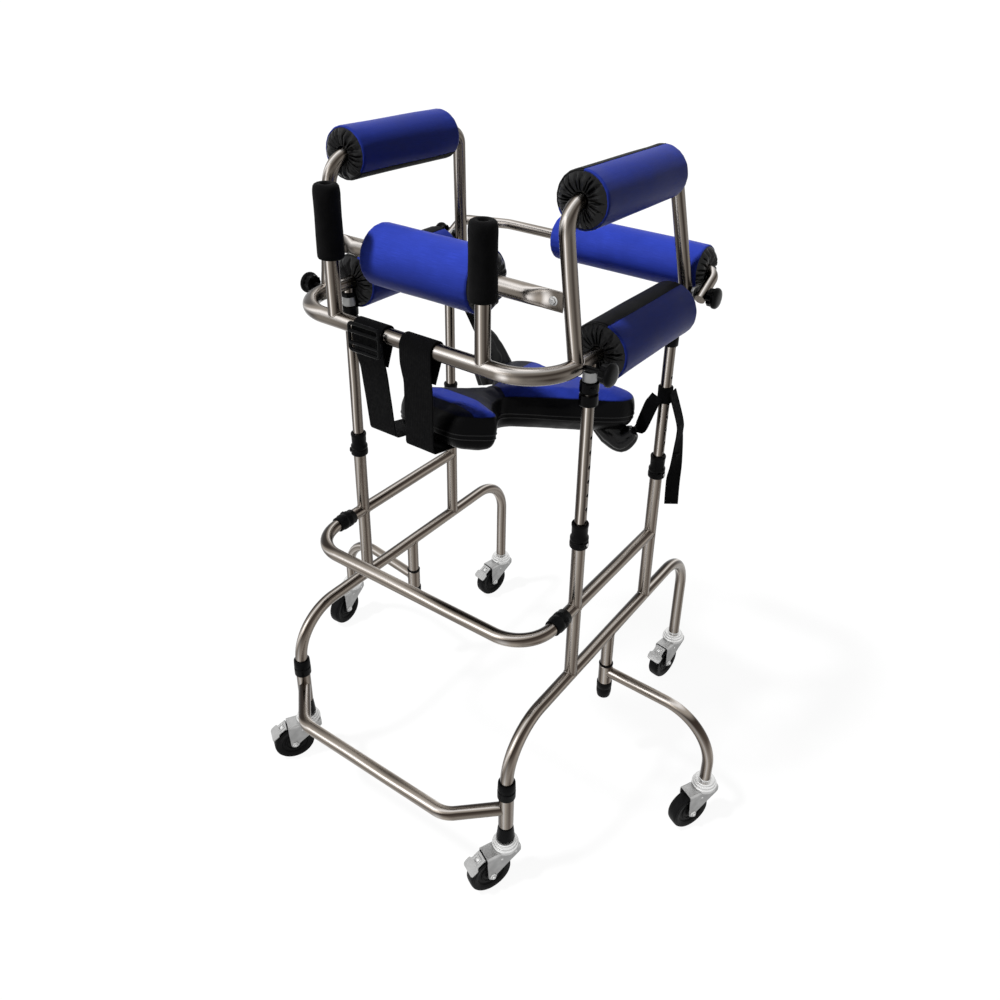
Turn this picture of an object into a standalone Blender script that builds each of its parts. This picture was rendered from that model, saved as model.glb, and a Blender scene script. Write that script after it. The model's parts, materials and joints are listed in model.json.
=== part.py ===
"""Wheeled standing and walking frame for a child.

Two bent-tube side frames on six casters carry an upper frame that slides in their uprights. The upper
frame has a handlebar with two grips, padded arm rests, trunk rolls and a saddle seat hung on webbing.
Metres, +Z up, floor at z = 0, front towards -Y. "right" is +X. The pieces are laid out from x = 0 midway
between the side frames and y = 0 at the front uprights, and the whole is then moved so that the origin is
on the floor under the middle of its box.
"""
import math

import bmesh
import bpy
from mathutils import Matrix, Vector

# Tubes: outer diameter and wall
TUBE_OD = 0.022
TUBE_WALL = 0.0010
INNER_LEG_OD = 0.019
INNER_LEG_WALL = 0.0012
SLEEVE_OD = 0.0254
HANDLE_OD = 0.025
HANDLE_WALL = 0.0012
OUTRIGGER_OD = 0.020
BACK_BAR_OD = 0.0185
FRONT_ROLL_BAR_OD = 0.028

# Clearances
GAP = 0.0003
WELD_GAP = 0.0005
SLIP = 0.0003
CUSHION_GAP = 0.0015

# Side frames
FRAME_X = 0.235
FRONT_UPRIGHT_Y = 0.0
REAR_UPRIGHT_Y = 0.260
LOWER_RAIL_Z = 0.320
UPPER_RAIL_Z = 0.466
FRONT_LEG_Y = -0.181
REAR_LEG_Y = 0.4417
RAIL_BEND = 0.088
LEG_END_Z = 0.1005
UPRIGHT_TOP_Z = 0.602
CROSSBAR_JOINT_Y = -0.048

# Crossbars
MID_CROSSBAR_Y = -0.131
MID_CROSSBAR_BEND = 0.065
FRONT_CROSSBAR_Z = 0.169
FRONT_CROSSBAR_Y = -0.2487
FRONT_CROSSBAR_STRAIGHT_X = 0.161
FRONT_CROSSBAR_BEND = 0.045
SLEEVE_BOTTOM_Z = 0.131
SLEEVE_TOP_Z = 0.197

# Collars
COLLAR_OD = 0.030
COLLAR_EDGE = 0.001
COLLAR_GROOVE_DEPTH = 0.0015
COLLAR_GROOVE = (0.42, 0.47, 0.52)
UPRIGHT_COLLAR_BOTTOM_Z = 0.587
UPRIGHT_COLLAR_TOP_Z = 0.631
LEG_COLLAR_HEIGHT = 0.034
CROSSBAR_COLLAR_LENGTH = 0.038

# Outriggers
OUTRIGGER_Y = 0.130
OUTRIGGER_REACH = 0.222
OUTRIGGER_ARM_Z = 0.2275
OUTRIGGER_BEND = 0.095
OUTRIGGER_SLEEVE_BOTTOM_Z = 0.203
OUTRIGGER_SLEEVE_TOP_Z = 0.2425
OUTRIGGER_YAW = {"right": -1.3, "left": 7.3}
STUB_BOTTOM_Z = 0.176
FOOT_BOTTOM_Z = 0.168
FOOT_TOP_Z = 0.2022
FOOT_OD = 0.029
FOOT_TAPER = 0.003

# Casters
WHEEL_RADIUS = 0.0375
WHEEL_WIDTH = 0.024
TRAIL = 0.031
FORK_GAP = 0.0015
FORK_PLATE = 0.0022
FORK_NOSE = 0.010
FORK_LIP_FRONT = 0.012
FORK_LIP_BACK = 0.010
AXLE_LOBE = 0.0075
AXLE_HEAD = 0.0015
CROWN_Z = 0.080
CROWN_INSET = 0.0004
CUP_RADIUS = 0.0225
CUP_SHOULDER = 0.005
CUP_TOP_Z = 0.098
STEM_TOP_Z = 0.129
AXLE_RADIUS = 0.004
HUB_RADIUS = 0.011
HUB_DISH_RADII = (0.014, 0.025)
HUB_DISH_DEPTH = 0.004
TREAD_EDGE = 0.004
PEDAL_START = 0.0012
PEDAL_LENGTH = 0.036
PEDAL_WIDTH = 0.032
PEDAL_NECK_LENGTH = 0.012
PEDAL_NECK_WIDTH = 0.014
PEDAL_THICKNESS = 0.0025
PEDAL_SLOPE = 35.0
CASTER_YAW = {
    "front_right": -25.0,
    "front_left": -32.0,
    "rear_right": -9.0,
    "rear_left": -12.0,
    "outrigger_right": -27.0,
    "outrigger_left": 3.0,
}
BRAKED_CASTERS = ("front_right", "front_left", "rear_right", "rear_left")

# Upper frame
UPPER_X = 0.2365
INNER_LEG_BOTTOM_Z = 0.440
HOLE_PITCH = 0.025
HOLE_RADIUS = 0.003
HOLE_COUNT = 13
HOLE_FIRST_Z = 0.484
SIDE_TUBE_Z = 0.911
HANDLEBAR_END_Y = -0.043
HANDLEBAR_Y = -0.122
HANDLEBAR_BEND = 0.075
GRIP_POST_X = 0.1376
GRIP_POST_TOP_Z = SIDE_TUBE_Z + 0.193
GRIP_BOTTOM_Z = SIDE_TUBE_Z + 0.0945
GRIP_TOP_Z = SIDE_TUBE_Z + 0.2025
GRIP_OD = 0.039
GRIP_EDGES = (0.003, 0.008)
GRIP_DIMPLE = (0.0065, 0.004)

# Arm rests
ARM_FRONT_Y = -0.0427
ARM_TOP_FRONT = (0.2085, -0.0449)
ARM_TOP_REAR = (0.2105, 0.262)
ARM_REAR_FOOT = (0.2380, 0.3010)
ARM_TOP_Z = SIDE_TUBE_Z + 0.216
ARM_REAR_BOTTOM_Z = SIDE_TUBE_Z - 0.012
ARM_FRONT_BEND = 0.040
ARM_REAR_BEND = 0.030
ARM_ROLL_RADIUS = 0.042
ARM_ROLL_Y = {"right": (-0.006, 0.224), "left": (-0.013, 0.213)}
ARM_ROLL_FLARE = 0.003

# Trunk rolls
SIDE_ROLL_RADIUS = 0.0465
SIDE_ROLL_Y = {"right": (0.018, 0.244), "left": (0.015, 0.237)}
FRONT_ROLL_RADIUS = 0.049
FRONT_ROLL_X = (-0.113, 0.084)
FRONT_ROLL_Y = -0.044
FRONT_ROLL_Z = SIDE_TUBE_Z + 0.087
FRONT_BAR_HALF = 0.165
FRONT_PLATE_HEIGHT = 0.030
FRONT_PLATE_THICKNESS = 0.004
FRONT_PLATE_OVERLAP = 0.020
BACK_ROLL_RADIUS = 0.0415
BACK_ROLL_X = (-0.041, 0.243)
BACK_BAR_Y = 0.347
BACK_BAR_Z = SIDE_TUBE_Z + 0.040
BACK_BAR_END_X = 0.263
BACK_BAR_BEND = 0.020
BACK_BAR_LEFT_BREAK_X = -0.160
BACK_BAR_LEFT_BEND = 0.080
BACK_BAR_LEFT_RISE = 0.75
BACK_BAR_END_MARGIN = 0.001
BACK_PIVOT_Y = 0.300
BACK_PIVOT_Z = SIDE_TUBE_Z + 0.012
ROLL_EDGE = 0.007
ROLL_FLARE_DEPTH = 0.024

# Knobs
KNOB_RADIUS = 0.0175
KNOB_LENGTH = 0.020
KNOB_START_X = 0.2735
KNOB_BOLT_RADIUS = 0.004
KNOB_BOLT_GRIP = 0.004
KNOB_EDGE = 0.003
KNOB_FACE = 0.7
KNOB_RIB = 0.86
FRONT_KNOB_Y = -0.036

# Seat: middle of its top, then its turn, tilt (front up) and roll (right up) in degrees
SEAT_MIDDLE = (0.030, 0.065, SIDE_TUBE_Z - 0.1389)
SEAT_YAW = -10.0
SEAT_TILT = 10.3
SEAT_ROLL = 6.0
SEAT_THICKNESS = 0.062
SEAT_EDGE = 0.010
# Right half in the seat's own plane: (across, backwards)
SEAT_OUTLINE = (
    (0.000, -0.157),
    (0.062, -0.160),
    (0.085, -0.140),
    (0.103, -0.112),
    (0.098, -0.095),
    (0.081, -0.089),
    (0.048, -0.054),
    (0.031, -0.022),
    (0.035, -0.003),
    (0.061, 0.031),
    (0.116, 0.097),
    (0.148, 0.140),
    (0.152, 0.170),
    (0.142, 0.195),
    (0.115, 0.212),
    (0.070, 0.206),
    (0.000, 0.202),
)

# Webbing
WEB_THICKNESS = 0.0025
FRONT_STRAP_WIDTH = 0.058
FRONT_STRAP_X = (-0.062, 0.030)
FRONT_STRAP_JOIN_Z = SIDE_TUBE_Z - 0.049
FRONT_STRAP_BOTTOM = (
    (-0.073, -0.105, SIDE_TUBE_Z - 0.179),
    (0.009, -0.1135, SIDE_TUBE_Z - 0.176),
)
FRONT_STRAP_FALL = 0.022
FRONT_STRAP_CORNER = 0.012
CROSS_WEB = (0.035, 0.002)
CROSS_WEB_DROP = 0.6
REAR_WEB_WIDTH = 0.036
REAR_WEB_REACH = 0.125
REAR_WEB_BACK = 0.165
REAR_STRAP_WIDTH = {"right": 0.025, "left": 0.030}
REAR_STRAP_ACROSS = {"right": (1, 0, 0), "left": (0, 1, 0)}
REAR_LOOP_Z = {
    "right": (SIDE_TUBE_Z - 0.174, SIDE_TUBE_Z - 0.146),
    "left": (SIDE_TUBE_Z - 0.053, SIDE_TUBE_Z - 0.025),
}
REAR_LOOP_OD = 0.026
# Rear webs below the wings, in the seat's own plane: (across, backwards, below the underside)
REAR_STRAP_UNDER = {
    "right": ((0.115, 0.170, 0.004), (0.136, 0.213, 0.007)),
    "left": ((-0.115, 0.170, 0.004), (-0.160, 0.185, 0.005)),
}
# Rear webs up to the leg: (towards the middle, towards the front, below the side tube)
REAR_STRAP_RISE = {
    "right": ((0.0135, 0.0205, 0.175), (0.0085, 0.0108, 0.1635)),
    "left": ((0.0850, 0.0060, 0.1555), (0.0095, 0.0040, 0.0390)),
}
# Loose tail: (outwards from the leg, backwards, below the side tube) and its width's direction
TAIL_WIDTH = 0.025
TAIL_PATH = (
    ((0.0115, 0.004, 0.1540), (0.0, 1.0, 0.0)),
    ((0.0288, 0.010, 0.2095), (0.0, 1.0, 0.0)),
    ((0.0308, 0.010, 0.2350), (0.0, 1.0, 0.0)),
    ((0.0310, 0.010, 0.2930), (0.5, 0.85, 0.0)),
    ((0.0290, 0.010, 0.3274), (0.84, 0.54, 0.0)),
    ((0.0305, 0.010, 0.3760), (0.84, 0.54, 0.0)),
)

# Mesh fineness
SIDES = 12
ROLL_SIDES = 18
WHEEL_SIDES = 20
KNOB_SIDES = 16
SMALL_SIDES = 8
HOLE_SIDES = 6
PAST = 0.01
BEND_STEPS = 4
WRAP_STEPS = 9

TUBE_R = TUBE_OD / 2
INNER_LEG_R = INNER_LEG_OD / 2
UP = Vector((0.0, 0.0, 1.0))
SIDE_SIGN = {"right": 1.0, "left": -1.0}
UPRIGHT_Y = {"front": FRONT_UPRIGHT_Y, "rear": REAR_UPRIGHT_Y}
MATERIALS = {
    "steel": ((0.62, 0.60, 0.58, 1.0), 0.18, 1.0),
    "zinc": ((0.60, 0.61, 0.63, 1.0), 0.35, 1.0),
    "black_plastic": ((0.02, 0.02, 0.022, 1.0), 0.45, 0.0),
    "rubber": ((0.015, 0.015, 0.016, 1.0), 0.75, 0.0),
    "foam": ((0.018, 0.018, 0.02, 1.0), 0.9, 0.0),
    "blue_cover": ((0.03, 0.05, 0.42, 1.0), 0.6, 0.0),
    "webbing": ((0.012, 0.012, 0.014, 1.0), 0.8, 0.0),
}


def clear_scene():
    for item in list(bpy.data.objects):
        bpy.data.objects.remove(item, do_unlink=True)


def material(name):
    found = bpy.data.materials.get(name)
    if found:
        return found
    colour, roughness, metallic = MATERIALS[name]
    made = bpy.data.materials.new(name)
    made.use_nodes = True
    shader = made.node_tree.nodes["Principled BSDF"]
    shader.inputs["Base Color"].default_value = colour
    shader.inputs["Roughness"].default_value = roughness
    shader.inputs["Metallic"].default_value = metallic
    return made


def place(name, bm, surface, origin=(0.0, 0.0, 0.0)):
    """Turn a world-space bmesh into a named object whose origin is the given point."""
    bmesh.ops.recalc_face_normals(bm, faces=bm.faces)
    bmesh.ops.translate(bm, verts=bm.verts, vec=-Vector(origin))
    mesh = bpy.data.meshes.new(name)
    bm.to_mesh(mesh)
    bm.free()
    mesh.shade_smooth()
    mesh.set_sharp_from_angle(angle=math.radians(40))
    mesh.materials.append(material(surface))
    made = bpy.data.objects.new(name, mesh)
    made.location = origin
    bpy.context.scene.collection.objects.link(made)
    return made


def copy_of(source, name, matrix):
    made = bpy.data.objects.new(name, source.data)
    made.matrix_world = matrix
    bpy.context.scene.collection.objects.link(made)
    return made


def fused(solids, cuts=()):
    """Unite bmesh solids, cut the others out, and return the result as one bmesh."""
    helpers = [place(f"helper_{i}", bm, "steel") for i, bm in enumerate([*solids, *cuts])]
    main = helpers[0]
    for i, helper in enumerate(helpers[1:], start=1):
        change = main.modifiers.new(f"step_{i}", "BOOLEAN")
        change.operation = "UNION" if i < len(solids) else "DIFFERENCE"
        change.object = helper
    depsgraph = bpy.context.evaluated_depsgraph_get()
    result = bmesh.new()
    result.from_mesh(main.evaluated_get(depsgraph).to_mesh())
    bmesh.ops.remove_doubles(result, verts=result.verts, dist=0.000002)
    for helper in helpers:
        mesh = helper.data
        bpy.data.objects.remove(helper, do_unlink=True)
        bpy.data.meshes.remove(mesh)
    return result


def filleted(points, radii, steps=BEND_STEPS):
    """Replace each inner corner of a polyline by an arc of its radius."""
    points = [Vector(p) for p in points]
    path = [points[0]]
    for before, corner, after, radius in zip(points, points[1:], points[2:], radii):
        arrive = (corner - before).normalized()
        leave = (after - corner).normalized()
        turn = arrive.angle(leave)
        tangent = radius * math.tan(turn / 2)
        start = corner - arrive * tangent
        inward = (leave - arrive * math.cos(turn)).normalized()
        centre = start + inward * radius
        for i in range(steps + 1):
            angle = turn * i / steps
            forward = arrive * (radius * math.sin(angle))
            path.append(centre + forward - inward * (radius * math.cos(angle)))
    path.append(points[-1])
    return path


def tangents(path):
    result = []
    for i, point in enumerate(path):
        before = path[max(i - 1, 0)]
        after = path[min(i + 1, len(path) - 1)]
        result.append((after - before).normalized())
    return result


def coped(point, outward, mate):
    """Slide a tube end's corner along the tube until it lies on the mating tube's surface."""
    centre, axis, radius = Vector(mate[0]), Vector(mate[1]).normalized(), mate[2]
    offset = point - centre
    offset -= axis * offset.dot(axis)
    travel = outward - axis * outward.dot(axis)
    a = travel.dot(travel)
    b = 2 * offset.dot(travel)
    c = offset.dot(offset) - radius * radius
    root = math.sqrt(max(b * b - 4 * a * c, 0.0))
    return point + outward * ((-b - root) / (2 * a))


def swept(path, radius, bore=0.0, sides=SIDES, start=None, end=None, half_step=False):
    """A round bar or tube along a path. start and end are mating tubes that its ends are coped to."""
    directions = tangents(path)
    side = directions[0].cross(UP)
    if side.length < 0.1:
        side = Vector((1.0, 0.0, 0.0))
    side.normalize()
    bm = bmesh.new()
    layers = []
    for i, (point, direction) in enumerate(zip(path, directions)):
        side = (side - direction * side.dot(direction)).normalized()
        other = direction.cross(side)
        mitre = 1.0
        if 0 < i < len(path) - 1:
            bend = (path[i] - path[i - 1]).angle(path[i + 1] - path[i])
            mitre = 1.0 / math.cos(bend / 2)
        inner_side = (path[i + 1] - path[i] if i < len(path) - 1 else direction).normalized()
        stretch = (inner_side - direction * inner_side.dot(direction))
        stretch = stretch.normalized() if stretch.length > 1e-6 else Vector()
        rings = []
        for size in ([radius, bore] if bore else [radius]):
            ring = []
            for k in range(sides):
                angle = 2 * math.pi * (k + (0.5 if half_step else 0.0)) / sides
                spoke = (side * math.cos(angle) + other * math.sin(angle)) * size
                spoke += stretch * spoke.dot(stretch) * (mitre - 1.0)
                corner = point + spoke
                if i == 0 and start:
                    corner = coped(corner, -direction, start)
                if i == len(path) - 1 and end:
                    corner = coped(corner, direction, end)
                ring.append(bm.verts.new(corner))
            rings.append(ring)
        layers.append(rings)
    for first, second in zip(layers, layers[1:]):
        for ring_a, ring_b in zip(first, second):
            join_rings(bm, ring_a, ring_b)
    caps = [(layers[0], path[0], -directions[0], start), (layers[-1], path[-1], directions[-1], end)]
    for rings, point, outward, mating in caps:
        if bore:
            join_rings(bm, rings[0], rings[1])
        elif mating:
            fan(bm, bm.verts.new(coped(point, outward, mating)), rings[0])
        else:
            bm.faces.new(rings[0])
    return bm


def join_rings(bm, ring_a, ring_b):
    count = len(ring_a)
    for k in range(count):
        bm.faces.new((ring_a[k], ring_a[(k + 1) % count], ring_b[(k + 1) % count], ring_b[k]))


def straight(first, last, radius, bore=0.0, **options):
    return swept([Vector(first), Vector(last)], radius, bore, **options)


def turned(profile, sides, base=(0, 0, 0), axis=(0, 0, 1), lobes=None, half_step=True):
    """Turn a closed profile of (radius, distance along the axis) points about an axis.

    Points on the axis close a solid piece. lobes is a smaller radius factor for every second corner of
    the profile points whose radius is the largest.
    """
    turn = Vector(axis).normalized().to_track_quat("Z", "Y").to_matrix().to_4x4()
    matrix = Matrix.Translation(Vector(base)) @ turn
    largest = max(radius for radius, _ in profile)
    bm = bmesh.new()
    rings = []
    for radius, along in profile:
        if radius == 0.0:
            rings.append([bm.verts.new(matrix @ Vector((0.0, 0.0, along)))])
            continue
        ring = []
        for k in range(sides):
            angle = 2 * math.pi * (k + (0.5 if half_step else 0.0)) / sides
            size = radius
            if lobes and k % 2 and radius > 0.9 * largest:
                size = radius * lobes
            corner = Vector((size * math.cos(angle), size * math.sin(angle), along))
            ring.append(bm.verts.new(matrix @ corner))
        rings.append(ring)
    closed = profile[0][0] > 0.0
    pairs = list(zip(rings, rings[1:]))
    if closed:
        pairs.append((rings[-1], rings[0]))
    for ring_a, ring_b in pairs:
        if len(ring_a) == 1:
            fan(bm, ring_a[0], ring_b)
        elif len(ring_b) == 1:
            fan(bm, ring_b[0], ring_a)
        else:
            join_rings(bm, ring_a, ring_b)
    return bm


def fan(bm, tip, ring):
    for k in range(len(ring)):
        bm.faces.new((tip, ring[k], ring[(k + 1) % len(ring)]))


def ring_profile(outer, inner, length, chamfer):
    return [
        (inner, 0.0),
        (outer - chamfer, 0.0),
        (outer, chamfer),
        (outer, length - chamfer),
        (outer - chamfer, length),
        (inner, length),
    ]


def box(low, high):
    bm = bmesh.new()
    bmesh.ops.create_cube(bm, size=1.0)
    size = [b - a for a, b in zip(low, high)]
    middle = [(a + b) / 2 for a, b in zip(low, high)]
    bmesh.ops.scale(bm, verts=bm.verts, vec=size)
    bmesh.ops.translate(bm, verts=bm.verts, vec=middle)
    return bm


def plate(outline, thickness, to_space):
    """A flat plate: outline points (u, v), thickness along w, each corner put in place by to_space."""
    bm = bmesh.new()
    faces = [[bm.verts.new(to_space(u, v, w)) for u, v in outline] for w in (0.0, thickness)]
    join_rings(bm, *faces)
    for ring in faces:
        bm.faces.new(ring)
    return bm


def ribbon(path, sideways, width, thickness):
    """Flat webbing swept along a path; its width lies along one direction, or along a list of them."""
    directions = tangents(path)
    if not isinstance(sideways, list):
        sideways = [sideways] * len(path)
    bm = bmesh.new()
    layers = []
    for i, (point, direction) in enumerate(zip(path, directions)):
        across = Vector(sideways[i])
        across = (across - direction * across.dot(direction)).normalized() * (width / 2)
        scale = 1.0
        if 0 < i < len(path) - 1:
            bend = (path[i] - path[i - 1]).angle(path[i + 1] - path[i])
            scale = 1.0 / math.cos(bend / 2)
        out = direction.cross(across).normalized() * (thickness * scale / 2)
        corners = (point - across - out, point + across - out, point + across + out, point - across + out)
        layers.append([bm.verts.new(corner) for corner in corners])
    for first, second in zip(layers, layers[1:]):
        join_rings(bm, first, second)
    bm.faces.new(reversed(layers[0]))
    bm.faces.new(layers[-1])
    bmesh.ops.triangulate(bm, faces=bm.faces[:])
    return bm


def tube_bore(od, wall):
    return od / 2 - wall


def clear_of(radius):
    """Bore radius whose flat facets stay clear of a round piece of the given radius."""
    return (radius + SLIP) / math.cos(math.pi / SIDES)


def mate(point, axis, radius):
    """A mating tube for coping: its surface is widened so that flat facets keep the weld gap."""
    return (point, axis, (radius + WELD_GAP) / math.cos(math.pi / SIDES) ** 0.5)


def lower_rail(side):
    """Front leg, rail and rear leg bent from one tube, with the outrigger stub welded under it."""
    x = SIDE_SIGN[side] * FRAME_X
    corners = [
        (x, FRONT_LEG_Y, LEG_END_Z),
        (x, FRONT_LEG_Y, LOWER_RAIL_Z),
        (x, REAR_LEG_Y, LOWER_RAIL_Z),
        (x, REAR_LEG_Y, LEG_END_Z),
    ]
    stub_top = (x, OUTRIGGER_Y, LOWER_RAIL_Z)
    stub_bottom = (x, OUTRIGGER_Y, STUB_BOTTOM_Z)
    past_bottom = (x, OUTRIGGER_Y, STUB_BOTTOM_Z - PAST)
    bore = tube_bore(TUBE_OD, TUBE_WALL)
    rail = swept(filleted(corners, [RAIL_BEND, RAIL_BEND]), TUBE_R, half_step=True)
    stub = straight(stub_top, stub_bottom, TUBE_R)
    corners[0] = (x, FRONT_LEG_Y, LEG_END_Z - PAST)
    corners[3] = (x, REAR_LEG_Y, LEG_END_Z - PAST)
    rail_bore = swept(filleted(corners, [RAIL_BEND, RAIL_BEND]), bore, half_step=True)
    stub_bore = straight(stub_top, past_bottom, bore)
    place(f"lower_rail_{side}", fused([rail, stub], [rail_bore, stub_bore]), "steel")


def side_ladder(side):
    """Front and rear uprights with the upper rail between them and the crossbar stub, one weldment."""
    x = SIDE_SIGN[side] * FRAME_X
    bore = tube_bore(TUBE_OD, TUBE_WALL)
    rail_mate = mate((x, 0, LOWER_RAIL_Z), (0, 1, 0), TUBE_R)
    solids = []
    bores = []
    for y in UPRIGHT_Y.values():
        foot = (x, y, LOWER_RAIL_Z + 2 * TUBE_R)
        solids.append(straight((x, y, UPRIGHT_TOP_Z), foot, TUBE_R, end=rail_mate, half_step=True))
        bores.append(straight((x, y, LOWER_RAIL_Z), (x, y, UPRIGHT_TOP_Z + PAST), bore))
    stub_end = CROSSBAR_JOINT_Y + GAP
    rail_start = (x, stub_end, UPPER_RAIL_Z)
    rail_end = (x, REAR_UPRIGHT_Y, UPPER_RAIL_Z)
    past_start = (x, stub_end - PAST, UPPER_RAIL_Z)
    solids.append(straight(rail_start, rail_end, TUBE_R))
    bores.append(straight(past_start, rail_end, bore, half_step=True))
    place(f"side_ladder_{side}", fused(solids, bores), "steel")


def crossbars():
    joint_y = CROSSBAR_JOINT_Y - GAP
    corners = [
        (FRAME_X, joint_y, UPPER_RAIL_Z),
        (FRAME_X, MID_CROSSBAR_Y, UPPER_RAIL_Z),
        (-FRAME_X, MID_CROSSBAR_Y, UPPER_RAIL_Z),
        (-FRAME_X, joint_y, UPPER_RAIL_Z),
    ]
    path = filleted(corners, [MID_CROSSBAR_BEND, MID_CROSSBAR_BEND])
    place("mid_crossbar", swept(path, TUBE_R, tube_bore(TUBE_OD, TUBE_WALL), half_step=True), "steel")

    z = FRONT_CROSSBAR_Z
    corners = [
        (FRAME_X, FRONT_LEG_Y, z),
        (FRONT_CROSSBAR_STRAIGHT_X, FRONT_CROSSBAR_Y, z),
        (-FRONT_CROSSBAR_STRAIGHT_X, FRONT_CROSSBAR_Y, z),
        (-FRAME_X, FRONT_LEG_Y, z),
    ]
    path = filleted(corners, [FRONT_CROSSBAR_BEND, FRONT_CROSSBAR_BEND])
    solids = [swept(path, TUBE_R, half_step=True)]
    cuts = [swept(path, tube_bore(TUBE_OD, TUBE_WALL), half_step=True)]
    for sign in SIDE_SIGN.values():
        low = Vector((sign * FRAME_X, FRONT_LEG_Y, SLEEVE_BOTTOM_Z))
        high = Vector((sign * FRAME_X, FRONT_LEG_Y, SLEEVE_TOP_Z))
        solids.append(straight(low, high, SLEEVE_OD / 2))
        cuts.append(straight(low - UP * PAST, high + UP * PAST, clear_of(TUBE_R)))
    place("front_crossbar", fused(solids, cuts), "steel")


def stepped_collar(name, base, lower_radius, upper_radius, step, height):
    """A plastic collar that seats on one tube and guides a thinner one."""
    out = COLLAR_OD / 2
    profile = [
        (lower_radius, 0.0),
        (out - COLLAR_EDGE, 0.0),
        (out, COLLAR_EDGE),
        (out, height * COLLAR_GROOVE[0]),
        (out - COLLAR_GROOVE_DEPTH, height * COLLAR_GROOVE[1]),
        (out, height * COLLAR_GROOVE[2]),
        (out - COLLAR_EDGE, height),
        (upper_radius, height),
        (upper_radius, step),
        (lower_radius, step),
    ]
    place(name, turned(profile, SIDES, base, half_step=False), "black_plastic")


def collars():
    height = UPRIGHT_COLLAR_TOP_Z - UPRIGHT_COLLAR_BOTTOM_Z
    step = UPRIGHT_TOP_Z + GAP - UPRIGHT_COLLAR_BOTTOM_Z
    for end, y in UPRIGHT_Y.items():
        for side, sign in SIDE_SIGN.items():
            base = (sign * FRAME_X, y, UPRIGHT_COLLAR_BOTTOM_Z)
            name = f"upright_collar_{end}_{side}"
            stepped_collar(name, base, clear_of(TUBE_R), clear_of(INNER_LEG_R), step, height)
    for side, sign in SIDE_SIGN.items():
        base = (sign * FRAME_X, FRONT_LEG_Y, SLEEVE_TOP_Z + GAP)
        profile = ring_profile(COLLAR_OD / 2, clear_of(TUBE_R), LEG_COLLAR_HEIGHT, COLLAR_EDGE)
        place(f"leg_collar_{side}", turned(profile, SIDES, base, half_step=False), "black_plastic")
        base = (sign * FRAME_X, CROSSBAR_JOINT_Y - CROSSBAR_COLLAR_LENGTH / 2, UPPER_RAIL_Z)
        profile = ring_profile(COLLAR_OD / 2, clear_of(TUBE_R), CROSSBAR_COLLAR_LENGTH, COLLAR_EDGE)
        ring = turned(profile, SIDES, base, (0, 1, 0))
        place(f"crossbar_collar_{side}", ring, "black_plastic")


def outrigger_place(side):
    """Pivot on the stub's axis and the unit vector along the arm."""
    sign = SIDE_SIGN[side]
    yaw = math.radians(OUTRIGGER_YAW[side])
    pivot = Vector((sign * FRAME_X, OUTRIGGER_Y, 0.0))
    return pivot, Vector((sign * math.cos(yaw), math.sin(yaw), 0.0))


def outrigger(side):
    pivot, along = outrigger_place(side)
    tip = pivot + along * OUTRIGGER_REACH
    corners = [
        pivot + UP * OUTRIGGER_ARM_Z,
        tip + UP * OUTRIGGER_ARM_Z,
        tip + UP * LEG_END_Z,
    ]
    bore = tube_bore(OUTRIGGER_OD, TUBE_WALL)
    arm = swept(filleted(corners, [OUTRIGGER_BEND], BEND_STEPS + 1), OUTRIGGER_OD / 2, half_step=True)
    low = pivot + UP * OUTRIGGER_SLEEVE_BOTTOM_Z
    high = pivot + UP * OUTRIGGER_SLEEVE_TOP_Z
    sleeve = straight(low, high, SLEEVE_OD / 2)
    corners[2] = tip + UP * (LEG_END_Z - PAST)
    arm_bore = swept(filleted(corners, [OUTRIGGER_BEND], BEND_STEPS + 1), bore, half_step=True)
    sleeve_bore = straight(low - UP * PAST, high + UP * PAST, clear_of(TUBE_R))
    body = fused([sleeve, arm], [arm_bore, sleeve_bore])
    place(f"outrigger_arm_{side}", body, "steel", pivot + UP * OUTRIGGER_ARM_Z)

    depth = STUB_BOTTOM_Z - GAP - FOOT_BOTTOM_Z
    height = FOOT_TOP_Z - FOOT_BOTTOM_Z
    profile = [
        (0.0, 0.0),
        (FOOT_OD / 2 - FOOT_TAPER, 0.0),
        (FOOT_OD / 2, height / 2),
        (FOOT_OD / 2, height),
        (clear_of(TUBE_R), height),
        (clear_of(TUBE_R), depth),
        (0.0, depth),
    ]
    foot = turned(profile, SIDES, pivot + UP * FOOT_BOTTOM_Z, half_step=False)
    place(f"outrigger_foot_{side}", foot, "rubber")


def caster_places():
    """Swivel axis of each caster on the floor plane."""
    places = {}
    for side, sign in SIDE_SIGN.items():
        places[f"front_{side}"] = Vector((sign * FRAME_X, FRONT_LEG_Y, 0.0))
        places[f"rear_{side}"] = Vector((sign * FRAME_X, REAR_LEG_Y, 0.0))
        pivot, along = outrigger_place(side)
        places[f"outrigger_{side}"] = pivot + along * OUTRIGGER_REACH
    return places


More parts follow.
